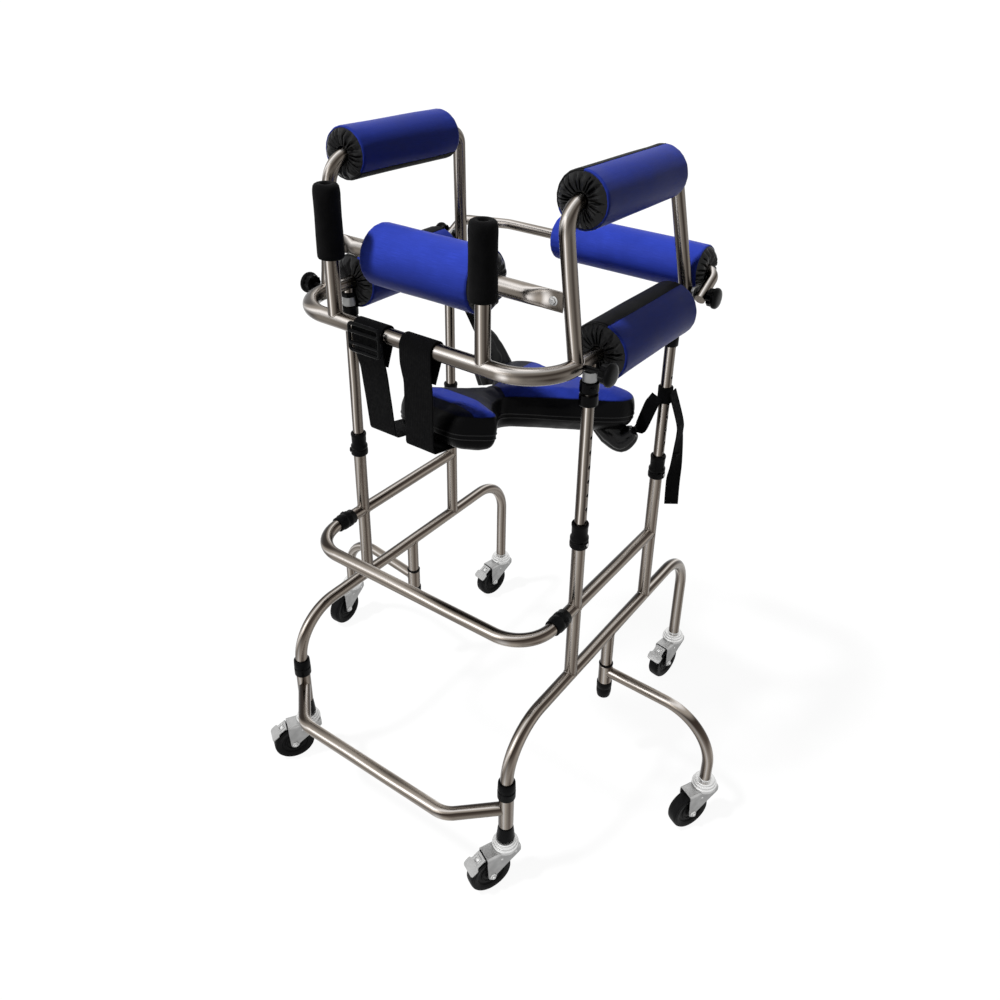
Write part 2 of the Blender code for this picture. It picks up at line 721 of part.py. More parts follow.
def fork_shape():
    """Pressed fork, bearing cup, stem and axle round the swivel axis; the wheel trails towards -Y."""
    inside = WHEEL_WIDTH / 2 + FORK_GAP
    outside = inside + FORK_PLATE
    front = -TRAIL - FORK_NOSE
    back = CUP_RADIUS - 2 * CROWN_INSET
    top = CROWN_Z + FORK_PLATE
    cheek_top = top - CROWN_INSET
    outline = [(back, cheek_top), (front, cheek_top), (front, CROWN_Z - FORK_LIP_FRONT)]
    for degrees in (180, 225, 270, 315, 360):
        angle = math.radians(degrees)
        across = AXLE_LOBE * math.cos(angle)
        outline.append((across - TRAIL, WHEEL_RADIUS + AXLE_LOBE * math.sin(angle)))
    outline.append((back, CROWN_Z - FORK_LIP_BACK))
    cheeks = [
        plate(outline, FORK_PLATE, lambda u, v, w: Vector((inside + w, u, v))),
        plate(outline, FORK_PLATE, lambda u, v, w: Vector((-outside + w, u, v))),
    ]
    half = outside - CROWN_INSET
    crown = box((-half, front + CROWN_INSET, CROWN_Z), (half, back + CROWN_INSET, top))
    stem_r = (tube_bore(OUTRIGGER_OD, TUBE_WALL) - SLIP) * math.cos(math.pi / SIDES)
    cup = turned(
        [
            (0.0, CROWN_Z + FORK_PLATE / 2),
            (CUP_RADIUS, CROWN_Z + FORK_PLATE / 2),
            (CUP_RADIUS, top + CUP_SHOULDER),
            (CUP_RADIUS - CUP_SHOULDER / 2, CUP_TOP_Z - CUP_SHOULDER),
            (CUP_RADIUS - CUP_SHOULDER, CUP_TOP_Z),
            (stem_r, CUP_TOP_Z),
            (stem_r, STEM_TOP_Z),
            (0.0, STEM_TOP_Z),
        ],
        SIDES,
    )
    axle_start = (-outside - AXLE_HEAD, -TRAIL, WHEEL_RADIUS)
    axle_end = (outside + AXLE_HEAD, -TRAIL, WHEEL_RADIUS)
    axle = straight(axle_start, axle_end, AXLE_RADIUS, sides=SMALL_SIDES)
    return fused([crown, *cheeks, cup, axle])


def wheel_shape():
    """Wheel centred on its axle, which lies along X; its flats touch the wheel radius."""
    out = WHEEL_RADIUS / math.cos(math.pi / WHEEL_SIDES)
    half = WHEEL_WIDTH / 2
    recess = half - HUB_DISH_DEPTH
    dish_in, dish_out = HUB_DISH_RADII
    profile = [
        (clear_of(AXLE_RADIUS), -half),
        (HUB_RADIUS, -half),
        (dish_in, -recess),
        (dish_out, -recess),
        (out - TREAD_EDGE, -half),
        (out, -half + TREAD_EDGE),
        (out, half - TREAD_EDGE),
        (out - TREAD_EDGE, half),
        (dish_out, recess),
        (dish_in, recess),
        (HUB_RADIUS, half),
        (clear_of(AXLE_RADIUS), half),
    ]
    return turned(profile, WHEEL_SIDES, axis=(1, 0, 0))


def pedal_shape():
    """Toe pedal round its hinge line: a neck and a wide pad that slope down over the wheel."""
    slope = math.radians(PEDAL_SLOPE)
    along = Vector((0.0, -math.cos(slope), -math.sin(slope)))
    normal = Vector((0.0, -math.sin(slope), math.cos(slope)))
    neck = PEDAL_NECK_WIDTH / 2
    half = PEDAL_WIDTH / 2
    right = [(PEDAL_START, neck), (PEDAL_NECK_LENGTH, neck), (PEDAL_NECK_LENGTH, half), (PEDAL_LENGTH, half)]
    outline = right + [(u, -v) for u, v in reversed(right)]
    bm = plate(outline, PEDAL_THICKNESS, lambda u, v, w: Vector((v, 0, 0)) + along * u + normal * w)
    bmesh.ops.triangulate(bm, faces=[face for face in bm.faces if len(face.verts) > 4])
    return bm


def casters():
    shapes = {}
    hinge = Vector((0.0, -TRAIL - FORK_NOSE - GAP, CROWN_Z))
    wheel_centre = Vector((0.0, -TRAIL, WHEEL_RADIUS))
    for name, spot in caster_places().items():
        turn = Matrix.Translation(spot) @ Matrix.Rotation(math.radians(CASTER_YAW[name]), 4, "Z")
        pieces = [("fork", fork_shape, "zinc", Vector()), ("wheel", wheel_shape, "rubber", wheel_centre)]
        if name in BRAKED_CASTERS:
            pieces.append(("brake_pedal", pedal_shape, "zinc", hinge))
        for piece, shape, surface, offset in pieces:
            matrix = turn @ Matrix.Translation(offset)
            label = f"caster_{piece}_{name}"
            if piece in shapes:
                copy_of(shapes[piece], label, matrix)
            else:
                shapes[piece] = place(label, shape(), surface)
                shapes[piece].matrix_world = matrix


def inner_legs():
    bore = tube_bore(INNER_LEG_OD, INNER_LEG_WALL)
    for end, y in UPRIGHT_Y.items():
        for side, sign in SIDE_SIGN.items():
            x = sign * FRAME_X
            side_mate = mate((sign * UPPER_X, 0, SIDE_TUBE_Z), (0, 1, 0), TUBE_R)
            top = (x, y, SIDE_TUBE_Z - 2 * TUBE_R)
            leg = straight((x, y, INNER_LEG_BOTTOM_Z), top, INNER_LEG_R, bore, end=side_mate)
            holes = []
            for k in range(HOLE_COUNT):
                z = HOLE_FIRST_Z + k * HOLE_PITCH
                inside = (x + bore / 2, y, z)
                outside = (x + 2 * INNER_LEG_R, y, z)
                holes.append(straight(inside, outside, HOLE_RADIUS, sides=HOLE_SIDES))
            place(f"inner_leg_{end}_{side}", fused([leg], [joined(holes)]), "steel")


def joined(parts):
    """Put separate bmeshes into one, as a cutter of separate bodies."""
    result = bmesh.new()
    for bm in parts:
        mesh = bpy.data.meshes.new("part")
        bm.to_mesh(mesh)
        bm.free()
        result.from_mesh(mesh)
        bpy.data.meshes.remove(mesh)
    return result


def arm_corners(sign):
    return [
        Vector((sign * UPPER_X, ARM_FRONT_Y, SIDE_TUBE_Z + 2 * TUBE_R)),
        Vector((sign * ARM_TOP_FRONT[0], ARM_TOP_FRONT[1], ARM_TOP_Z)),
        Vector((sign * ARM_TOP_REAR[0], ARM_TOP_REAR[1], ARM_TOP_Z)),
        Vector((sign * ARM_REAR_FOOT[0], ARM_REAR_FOOT[1], ARM_REAR_BOTTOM_Z)),
    ]


def bolt_cut(sign, y, z, from_x, to_x):
    start = (sign * from_x, y, z)
    end = (sign * to_x, y, z)
    return straight(start, end, clear_of(KNOB_BOLT_RADIUS), sides=SMALL_SIDES)


def upper_tubes(side):
    sign = SIDE_SIGN[side]
    bore = tube_bore(TUBE_OD, TUBE_WALL)
    corners = arm_corners(sign)
    rear_direction = corners[3] - corners[2]
    rear_mate = mate(corners[3], rear_direction, TUBE_R)
    x = sign * UPPER_X
    start = (x, HANDLEBAR_END_Y + GAP, SIDE_TUBE_Z)
    end = (x, ARM_REAR_FOOT[1] - 2 * TUBE_R, SIDE_TUBE_Z)
    tube = straight(start, end, TUBE_R, bore, end=rear_mate, half_step=True)
    cut = bolt_cut(sign, FRONT_KNOB_Y, SIDE_TUBE_Z, UPPER_X, UPPER_X + 2 * TUBE_R)
    place(f"side_tube_{side}", fused([tube], [cut]), "steel")

    seam_mate = mate((x, 0, SIDE_TUBE_Z), (0, 1, 0), max(TUBE_OD, HANDLE_OD) / 2)
    path = filleted(corners, [ARM_FRONT_BEND, ARM_REAR_BEND])
    arm = swept(path, TUBE_R, bore, start=seam_mate)
    cut = bolt_cut(sign, BACK_PIVOT_Y, BACK_PIVOT_Z, UPPER_X, UPPER_X + 2 * TUBE_R)
    place(f"arm_rest_tube_{side}", fused([arm], [cut]), "steel")


def handlebar():
    y = HANDLEBAR_END_Y - GAP
    z = SIDE_TUBE_Z
    corners = [(-UPPER_X, y, z), (-UPPER_X, HANDLEBAR_Y, z), (UPPER_X, HANDLEBAR_Y, z), (UPPER_X, y, z)]
    bends = [HANDLEBAR_BEND, HANDLEBAR_BEND]
    bar = swept(filleted(corners, bends), HANDLE_OD / 2, half_step=True)
    corners[0] = (-UPPER_X, y + PAST, z)
    corners[3] = (UPPER_X, y + PAST, z)
    cuts = [swept(filleted(corners, bends), tube_bore(HANDLE_OD, HANDLE_WALL), half_step=True)]
    solids = [bar]
    for side, sign in SIDE_SIGN.items():
        foot = Vector((sign * GRIP_POST_X, HANDLEBAR_Y, z))
        top = Vector((foot.x, foot.y, GRIP_POST_TOP_Z))
        solids.append(straight(foot, top, TUBE_R))
        cuts.append(straight(foot, top + UP * PAST, tube_bore(TUBE_OD, TUBE_WALL)))
    place("handlebar", fused(solids, cuts), "steel")
    for side, sign in SIDE_SIGN.items():
        grip(side, (sign * GRIP_POST_X, HANDLEBAR_Y, GRIP_BOTTOM_Z))


def grip(side, base):
    height = GRIP_TOP_Z - GRIP_BOTTOM_Z
    post = GRIP_POST_TOP_Z + GAP - GRIP_BOTTOM_Z
    out = GRIP_OD / 2
    low_edge, top_edge = GRIP_EDGES
    dimple, dimple_depth = GRIP_DIMPLE
    profile = [
        (0.0, post),
        (clear_of(TUBE_R), post),
        (clear_of(TUBE_R), 0.0),
        (out - low_edge, 0.0),
        (out, low_edge),
        (out, height - top_edge),
        (out - top_edge, height),
        (dimple, height),
        (dimple, height - dimple_depth),
        (0.0, height - dimple_depth),
    ]
    place(f"foam_grip_{side}", turned(profile, SIDES, base, half_step=False), "foam")


def roll_profile(radius, bore, length, flare=0.0):
    """A padded roll with chamfered ends; its bore can widen towards the far end to pass a bend."""
    profile = [
        (bore, 0.0),
        (radius - ROLL_EDGE, 0.0),
        (radius, ROLL_EDGE),
        (radius, length - ROLL_EDGE),
        (radius - ROLL_EDGE, length),
        (bore + flare, length),
    ]
    if flare:
        profile.append((bore, length - ROLL_FLARE_DEPTH))
    return profile


def rolls():
    bore = TUBE_R + CUSHION_GAP
    for side, sign in SIDE_SIGN.items():
        x = sign * (ARM_TOP_FRONT[0] + ARM_TOP_REAR[0]) / 2
        start, end = ARM_ROLL_Y[side]
        profile = roll_profile(ARM_ROLL_RADIUS, bore, end - start, ARM_ROLL_FLARE)
        roll = turned(profile, ROLL_SIDES, (x, end, ARM_TOP_Z), (0, -1, 0))
        place(f"arm_rest_roll_{side}", roll, "blue_cover")

        start, end = SIDE_ROLL_Y[side]
        profile = roll_profile(SIDE_ROLL_RADIUS, bore, end - start)
        roll = turned(profile, ROLL_SIDES, (sign * UPPER_X, start, SIDE_TUBE_Z), (0, 1, 0))
        place(f"side_roll_{side}", roll, "blue_cover")

    start, end = FRONT_ROLL_X
    profile = roll_profile(FRONT_ROLL_RADIUS, FRONT_ROLL_BAR_OD / 2 + CUSHION_GAP, end - start)
    roll = turned(profile, ROLL_SIDES, (start, FRONT_ROLL_Y, FRONT_ROLL_Z), (1, 0, 0))
    place("front_roll", roll, "blue_cover")
    start, end = BACK_ROLL_X
    bore = BACK_BAR_OD / 2 + CUSHION_GAP
    profile = roll_profile(BACK_ROLL_RADIUS, bore, end - start)
    roll = turned(profile, ROLL_SIDES, (start, BACK_BAR_Y, BACK_BAR_Z), (1, 0, 0))
    pivot = Vector((0.0, BACK_PIVOT_Y, BACK_PIVOT_Z))
    place("back_roll", roll, "blue_cover", pivot)


def arm_front_at(z, sign):
    """Point on the arm rest's front leg axis at a height."""
    low = Vector((sign * UPPER_X, ARM_FRONT_Y, SIDE_TUBE_Z))
    high = Vector((sign * ARM_TOP_FRONT[0], ARM_TOP_FRONT[1], ARM_TOP_Z))
    return low.lerp(high, (z - low.z) / (high.z - low.z))


def front_roll_bar():
    """A tube whose flattened end plates meet the arm rests' front legs."""
    z = FRONT_ROLL_Z
    y = FRONT_ROLL_Y
    half = FRONT_BAR_HALF
    reach = arm_front_at(z + FRONT_PLATE_HEIGHT / 2, 1.0).x - TUBE_R - WELD_GAP
    thick = FRONT_PLATE_THICKNESS / 2
    rise = FRONT_PLATE_HEIGHT / 2
    bore = tube_bore(FRONT_ROLL_BAR_OD, TUBE_WALL)
    tube = straight((-half, y, z), (half, y, z), FRONT_ROLL_BAR_OD / 2, half_step=True)
    hollow = straight((-half - PAST, y, z), (half + PAST, y, z), bore, half_step=True)
    body = fused([tube], [hollow])
    plates = []
    for sign in SIDE_SIGN.values():
        ends = sorted((sign * (half - FRONT_PLATE_OVERLAP), sign * reach))
        plates.append(box((ends[0], y - thick, z - rise), (ends[1], y + thick, z + rise)))
    place("front_roll_bar", fused([body, *plates]), "steel")


def back_bar():
    pivot = Vector((0.0, BACK_PIVOT_Y, BACK_PIVOT_Z))
    run = Vector((0.0, BACK_BAR_Y, BACK_BAR_Z))
    end_x = BACK_BAR_END_X
    past = (pivot - run).normalized() * (BACK_BAR_OD / 2 + BACK_BAR_END_MARGIN)
    left_corner = Vector((-end_x, 0, 0)) + pivot.lerp(run, BACK_BAR_LEFT_RISE)
    corners = [
        Vector((-end_x, 0, 0)) + pivot + past,
        left_corner,
        Vector((BACK_BAR_LEFT_BREAK_X, 0, 0)) + run,
        Vector((end_x, 0, 0)) + run,
        Vector((end_x, 0, 0)) + pivot + past,
    ]
    path = filleted(corners, [BACK_BAR_BEND, BACK_BAR_LEFT_BEND, BACK_BAR_BEND])
    bar = swept(path, BACK_BAR_OD / 2, tube_bore(BACK_BAR_OD, TUBE_WALL))
    reach = BACK_BAR_OD
    cuts = [bolt_cut(sign, pivot.y, pivot.z, end_x - reach, end_x + reach) for sign in SIDE_SIGN.values()]
    place("back_bar", fused([bar], cuts), "steel", pivot)


def knob(name, sign, y, z, tip_x):
    """Ribbed star knob on its bolt, which reaches in to tip_x."""
    start = KNOB_START_X
    bolt = KNOB_BOLT_RADIUS
    profile = [
        (0.0, tip_x),
        (bolt, tip_x),
        (bolt, start),
        (KNOB_RADIUS * KNOB_FACE, start),
        (KNOB_RADIUS, start + KNOB_EDGE),
        (KNOB_RADIUS, start + KNOB_LENGTH - KNOB_EDGE),
        (KNOB_RADIUS * KNOB_FACE, start + KNOB_LENGTH),
        (0.0, start + KNOB_LENGTH),
    ]
    body = turned(profile, KNOB_SIDES, (0, y, z), (sign, 0, 0), lobes=KNOB_RIB)
    place(name, body, "black_plastic", (sign * start, y, z))


def knobs():
    for side, sign in SIDE_SIGN.items():
        inner = UPPER_X + TUBE_R - KNOB_BOLT_GRIP
        knob(f"knob_front_{side}", sign, FRONT_KNOB_Y, SIDE_TUBE_Z, inner)
        knob(f"knob_rear_{side}", sign, BACK_PIVOT_Y, BACK_PIVOT_Z, inner)


def seat_space(u, v, w):
    """Seat to world: u across, v backwards in the seat's own plane, w below its top."""
    turn = Matrix.Rotation(math.radians(SEAT_YAW), 3, "Z")
    turn @= Matrix.Rotation(math.radians(-SEAT_TILT), 3, "X")
    turn @= Matrix.Rotation(math.radians(-SEAT_ROLL), 3, "Y")
    return Vector(SEAT_MIDDLE) + turn @ Vector((u, v, -w))


def seat_rings():
    """Saddle outline: rounded by corner cutting, then mirrored to the other side."""
    half = [Vector((u, v, 0.0)) for u, v in SEAT_OUTLINE]
    rounded = [half[0]]
    for a, b in zip(half, half[1:]):
        rounded.append(a.lerp(b, 0.25))
        rounded.append(a.lerp(b, 0.75))
    rounded.append(half[-1])
    right = rounded[1:-1]
    left = [Vector((-p.x, p.y, 0.0)) for p in reversed(right)]
    return [*right, *left]


def saddle_seat():
    outline = seat_rings()
    edge = SEAT_EDGE
    layers = [(edge, 0.0), (0.0, edge), (0.0, SEAT_THICKNESS - edge), (edge, SEAT_THICKNESS)]
    bm = bmesh.new()
    rings = []
    for inset, depth in layers:
        ring = []
        for i, point in enumerate(outline):
            before = outline[i - 1]
            after = outline[(i + 1) % len(outline)]
            along = (after - before).normalized()
            inward = Vector((-along.y, along.x, 0.0))
            spot = point + inward * inset
            ring.append(bm.verts.new(seat_space(spot.x, spot.y, depth)))
        rings.append(ring)
    for ring_a, ring_b in zip(rings, rings[1:]):
        join_rings(bm, ring_a, ring_b)
    bm.faces.new(rings[0])
    bm.faces.new(rings[-1])
    bmesh.ops.triangulate(bm, faces=[face for face in bm.faces if len(face.verts) > 4])
    place("saddle_seat", bm, "blue_cover")


def strap_path(x, bottom):
    """Front webbing: from below the bar's back, over the bar, down to bottom and under the seat."""
    wrap = HANDLE_OD / 2 + WEB_THICKNESS / 2 + GAP * 3
    front = Vector((x, HANDLEBAR_Y - wrap, SIDE_TUBE_Z))
    bottom = Vector(bottom)
    down = (FRONT_STRAP_JOIN_Z - front.z) / (bottom.z - front.z)
    hang_y = front.lerp(bottom, down).y + WEB_THICKNESS + 2 * GAP - HANDLEBAR_Y
    hang_z = FRONT_STRAP_JOIN_Z - SIDE_TUBE_Z
    first = math.atan2(hang_z, hang_y) + math.acos(wrap / math.hypot(hang_y, hang_z))
    points = [Vector((x, HANDLEBAR_Y + hang_y, FRONT_STRAP_JOIN_Z))]
    for i in range(WRAP_STEPS + 1):
        angle = first + (math.pi - first) * i / WRAP_STEPS
        y = HANDLEBAR_Y + wrap * math.cos(angle)
        points.append(Vector((x, y, SIDE_TUBE_Z + wrap * math.sin(angle))))
    under = Vector((bottom.x, 0.0, bottom.z - FRONT_STRAP_FALL))
    points.extend(filleted([points[-1], bottom, under], [FRONT_STRAP_CORNER], 3)[1:])
    return points


def front_strap():
    """Two hanging webs, sewn to one cross web under the seat's front."""
    solids = []
    ends = []
    for x, bottom in zip(FRONT_STRAP_X, FRONT_STRAP_BOTTOM):
        path = strap_path(x, bottom)
        ends.append(path[-1])
        solids.append(ribbon(path, (1, 0, 0), FRONT_STRAP_WIDTH, WEB_THICKNESS))
    forwards, past = CROSS_WEB
    half = Vector((FRONT_STRAP_WIDTH / 2, 0, 0))
    drop = Vector((0, (past - forwards) / 2, -WEB_THICKNESS * CROSS_WEB_DROP))
    cross = ribbon([ends[0] - half + drop, ends[1] + half + drop], (0, 1, 0), forwards + past, WEB_THICKNESS)
    place("front_strap", fused([cross, *solids]), "webbing")


def rear_strap():
    """A web under the wings, a web from each end to a loop on the rear leg, and the loose tail."""
    thick = WEB_THICKNESS
    y = REAR_UPRIGHT_Y
    under = SEAT_THICKNESS + thick
    ends = [seat_space(u, REAR_WEB_BACK, under) for u in (-REAR_WEB_REACH, REAR_WEB_REACH)]
    across = (seat_space(1, 0, 0) - seat_space(0, 0, 0)).normalized()
    backwards = (seat_space(0, 1, 0) - seat_space(0, 0, 0)).normalized()
    starts = {"right": across, "left": backwards}
    solids = [ribbon(ends, backwards, REAR_WEB_WIDTH, thick)]
    cuts = []
    for side, sign in SIDE_SIGN.items():
        x = sign * FRAME_X
        path = []
        for u, v, w in REAR_STRAP_UNDER[side]:
            path.append(seat_space(u, v, SEAT_THICKNESS + w))
        for inwards, forwards, below in REAR_STRAP_RISE[side]:
            path.append(Vector((x - sign * inwards, y - forwards, SIDE_TUBE_Z - below)))
        sideways = [starts[side]] * len(REAR_STRAP_UNDER[side]) + [REAR_STRAP_ACROSS[side]] * 2
        solids.append(ribbon(path, sideways, REAR_STRAP_WIDTH[side], thick))
        loop_bottom, loop_top = REAR_LOOP_Z[side]
        solids.append(straight((x, y, loop_bottom), (x, y, loop_top), REAR_LOOP_OD / 2))
        cuts.append(straight((x, y, UPRIGHT_TOP_Z), (x, y, SIDE_TUBE_Z), clear_of(INNER_LEG_R)))
    tail = [Vector((FRAME_X + out, y + back, SIDE_TUBE_Z - below)) for (out, back, below), across in TAIL_PATH]
    solids.append(ribbon(tail, [across for place, across in TAIL_PATH], TAIL_WIDTH, thick))
    place("rear_strap", fused(solids, cuts), "webbing")


def centre_on_floor():
    """Move every piece so that the origin lies under the middle of the whole, at floor height."""
    bpy.context.view_layer.update()
    pieces = list(bpy.data.objects)
    corners = [piece.matrix_world @ vertex.co for piece in pieces for vertex in piece.data.vertices]
    low = Vector([min(corner[axis] for corner in corners) for axis in range(3)])
    high = Vector([max(corner[axis] for corner in corners) for axis in range(3)])
    middle = (low + high) / 2
    for piece in pieces:
        piece.location -= Vector((middle.x, middle.y, low.z))


def main():
    clear_scene()
    for side in SIDE_SIGN:
        lower_rail(side)
        side_ladder(side)
        outrigger(side)
        upper_tubes(side)
    crossbars()
    collars()
    casters()
    inner_legs()
    handlebar()
    rolls()
    front_roll_bar()
    back_bar()
    knobs()
    saddle_seat()
    front_strap()
    rear_strap()
    centre_on_floor()


main()
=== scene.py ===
import json
import math

import bmesh
import bpy
from bpy.props import FloatProperty, FloatVectorProperty, IntProperty, PointerProperty
from mathutils import Matrix, Vector, noise
from mathutils.bvhtree import BVHTree

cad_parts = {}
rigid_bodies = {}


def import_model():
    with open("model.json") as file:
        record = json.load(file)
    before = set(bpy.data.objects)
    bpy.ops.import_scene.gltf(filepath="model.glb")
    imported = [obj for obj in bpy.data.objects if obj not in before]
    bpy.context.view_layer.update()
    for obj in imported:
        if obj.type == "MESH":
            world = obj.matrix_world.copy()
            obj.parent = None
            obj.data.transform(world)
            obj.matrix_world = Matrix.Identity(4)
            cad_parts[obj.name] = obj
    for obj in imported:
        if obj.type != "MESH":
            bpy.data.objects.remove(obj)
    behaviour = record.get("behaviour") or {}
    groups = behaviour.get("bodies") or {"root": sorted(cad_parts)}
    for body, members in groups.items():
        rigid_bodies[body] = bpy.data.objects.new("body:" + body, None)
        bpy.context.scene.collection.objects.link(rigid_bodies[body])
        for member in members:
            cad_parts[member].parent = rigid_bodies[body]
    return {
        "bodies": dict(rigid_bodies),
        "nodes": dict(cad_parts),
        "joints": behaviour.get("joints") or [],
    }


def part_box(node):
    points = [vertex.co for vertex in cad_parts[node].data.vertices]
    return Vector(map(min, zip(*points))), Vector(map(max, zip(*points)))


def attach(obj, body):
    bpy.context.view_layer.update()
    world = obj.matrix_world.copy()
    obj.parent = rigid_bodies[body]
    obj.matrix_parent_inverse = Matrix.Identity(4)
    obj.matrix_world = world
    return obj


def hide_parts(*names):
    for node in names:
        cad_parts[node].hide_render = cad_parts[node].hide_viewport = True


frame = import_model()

bl_info = {
    "name": "Walking Frame Dresser",
    "version": (1, 0, 0),
    "blender": (4, 5, 0),
    "location": "View3D > Sidebar > Walking Frame",
    "description": "Dresses a child's wheeled standing and walking frame in steel, plastic, foam and fabric",
    "category": "Object",
}

JOINTS = {joint["name"]: joint for joint in frame["joints"]}
SIDES = {"right": 1.0, "left": -1.0}
UP = Vector((0.0, 0.0, 1.0))
RIGHT = Vector((1.0, 0.0, 0.0))
BACK = Vector((0.0, 1.0, 0.0))


def frame_origin():
    """The point midway between the side frames, level with the front uprights, on the floor."""
    right_low, right_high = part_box("upright_collar_front_right")
    left_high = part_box("upright_collar_front_left")[1]
    return Vector(((right_low.x + left_high.x) / 2, (right_low.y + right_high.y) / 2, 0.0))


ORIGIN = frame_origin()

# Places, from the point between the side frames
FRAME_X = 0.235
UPPER_X = 0.2365
UPRIGHT_Y = {"front": 0.0, "rear": 0.260}
LOWER_RAIL_Z = 0.320
UPPER_RAIL_Z = 0.466
FRONT_LEG_Y = -0.181
REAR_LEG_Y = 0.4417
LEG_END_Z = 0.1005
STUB_END_Z = 0.177
FRONT_SLEEVE_Z = 0.131
LEG_COLLAR_Z = 0.1973
UPRIGHT_COLLAR_Z = 0.587
UPRIGHT_TOP_Z = 0.602
INNER_LEG_LOW_Z = 0.440
INNER_LEG_WALL = 0.0012
MIDDLE_BAR_Y = -0.131
LOW_BAR_Z = 0.169
LOW_BAR_BOW = 0.0677
LOW_BAR_BEND_X = 0.161
CROSSBAR_JOINT_Y = -0.048
OUTRIGGER_Y = 0.130
OUTRIGGER_FOOT_Z = 0.168
OUTRIGGER_SLEEVE_Z = 0.203
OUTRIGGER_ARM_Z = 0.2275
OUTRIGGER_RING_Z = 0.2432
SIDE_TUBE_Z = 0.911
HANDLEBAR_Y = -0.122
HANDLEBAR_END_Y = -0.043
GRIP_POST_X = 0.1376
GRIP_POST_RISE = 0.190
GRIP_Z = 1.0055
BACK_PIVOT = Vector((0.0, 0.300, 0.923))
BACK_RUN = Vector((0.0, 0.347, 0.951))
ARM_TOP_Z = 1.127
ARM_ROLL_X = 0.2095
FRONT_ROLL = Vector((0.0, -0.044, 0.998))
FRONT_KNOB_Y = -0.036
KNOB_X = 0.2735
BACK_BAR_END_X = 0.263

# Bend radii of the tubes, on their middle lines
RAIL_BEND = 0.088
MIDDLE_BAR_BEND = 0.065
LOW_BAR_BEND = 0.045
OUTRIGGER_BEND = 0.095
ARM_BENDS = (0.040, 0.030)
HANDLEBAR_BEND = 0.075
BACK_BAR_BENDS = (0.020, 0.080, 0.020)

# Seat
SEAT_MIDDLE = Vector((0.030, 0.065, 0.7721))
SEAT_YAW, SEAT_TILT, SEAT_ROLL = (math.radians(degrees) for degrees in (-10.0, -10.3, -6.0))
SEAT_TURN = Matrix.Rotation(SEAT_YAW, 3, "Z") @ Matrix.Rotation(SEAT_TILT, 3, "X") @ Matrix.Rotation(SEAT_ROLL, 3, "Y")
SEAT_THICKNESS = 0.062


# ------- geometry tools


class Shape:
    """Points and faces of one piece, gathered part by part."""

    def __init__(self):
        self.points = []
        self.faces = []
        self.slots = []
        self.marks = []

    def rings(self, rings, slot=0, wrap=True, loop=False, caps=(False, False), mark=None):
        """Join rings of points by faces. A ring of one point is a tip."""
        slot_at = slot if callable(slot) else (lambda i, j: slot)
        mark_at = mark or (lambda i, j: (0.0, 0.0))
        starts = []
        for ring in rings:
            starts.append(len(self.points))
            self.points.extend(Vector(point) for point in ring)
        pairs = [(j, j + 1) for j in range(len(rings) - 1)]
        if loop:
            pairs.append((len(rings) - 1, 0))
        for j, k in pairs:
            count = max(len(rings[j]), len(rings[k]))
            for i in range(count if wrap else count - 1):
                face, marks = [], []
                for column, row in ((i, j), (i + 1, j), (i + 1, j + 1), (i, j + 1)):
                    line = j if row == j else k
                    point = starts[line] + column % len(rings[line])
                    if point not in face:
                        face.append(point)
                        marks.append(mark_at(column, row))
                if len(face) > 2:
                    self.faces.append(face)
                    self.marks.append(marks)
                    self.slots.append(slot_at(i, j))
        for cap, start, ring in ((caps[0], starts[0], rings[0]), (caps[1], starts[-1], rings[-1])):
            if cap:
                self.faces.append(list(range(start, start + len(ring))))
                self.marks.append([(0.0, 0.0)] * len(ring))
                self.slots.append(slot_at(0, 0))

    def mesh(self, name, materials, sharp=35.0, origin=ORIGIN):
        made = bpy.data.meshes.new(name)
        made.from_pydata([point + origin for point in self.points], [], self.faces)
        for material in materials:
            made.materials.append(material)
        made.polygons.foreach_set("material_index", self.slots)
        layer = made.uv_layers.new(name="Cloth")
        flat = [value for marks in self.marks for mark in marks for value in mark]
        layer.data.foreach_set("uv", flat)
        work = bmesh.new()
        work.from_mesh(made)
        bmesh.ops.recalc_face_normals(work, faces=work.faces)
        work.to_mesh(made)
        work.free()
        made.shade_smooth()
        made.set_sharp_from_angle(angle=math.radians(sharp))
        return made

    def build(self, name, materials, body, slot, replaces=(), sharp=35.0):
        """Make the piece, set its body and finish, and let it stand for its CAD nodes."""
        return set_piece(self.mesh(name, materials, sharp), name, body, replaces)


def linked(name, data):
    """A new object in the scene."""
    made = bpy.data.objects.new(name, data)
    bpy.context.scene.collection.objects.link(made)
    return made


def set_piece(mesh, name, body, replaces=(), matrix=None):
    """Put a mesh in the scene as a piece, with its body, its finish and the CAD nodes that it stands for."""
    made = linked(name, mesh)
    if matrix is not None:
        made.matrix_world = matrix
    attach(made, body)
    if replaces:
        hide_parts(*replaces)
    return made


def apply_modifiers(made):
    """Turn the piece as its modifiers make it into its own mesh."""
    depsgraph = bpy.context.evaluated_depsgraph_get()
    mesh = bpy.data.meshes.new_from_object(made.evaluated_get(depsgraph), depsgraph=depsgraph)
    made.modifiers.clear()
    made.data = mesh


def rounded(made, width):
    """Round the piece's edges."""
    bevel = made.modifiers.new("Rounded edges", "BEVEL")
    bevel.width = width
    bevel.segments = 2
    bevel.limit_method = "ANGLE"
    bevel.angle_limit = math.radians(40.0)
    bevel.harden_normals = True


def clamped(value):
    """The value held between 0 and 1."""
    return min(max(value, 0.0), 1.0)


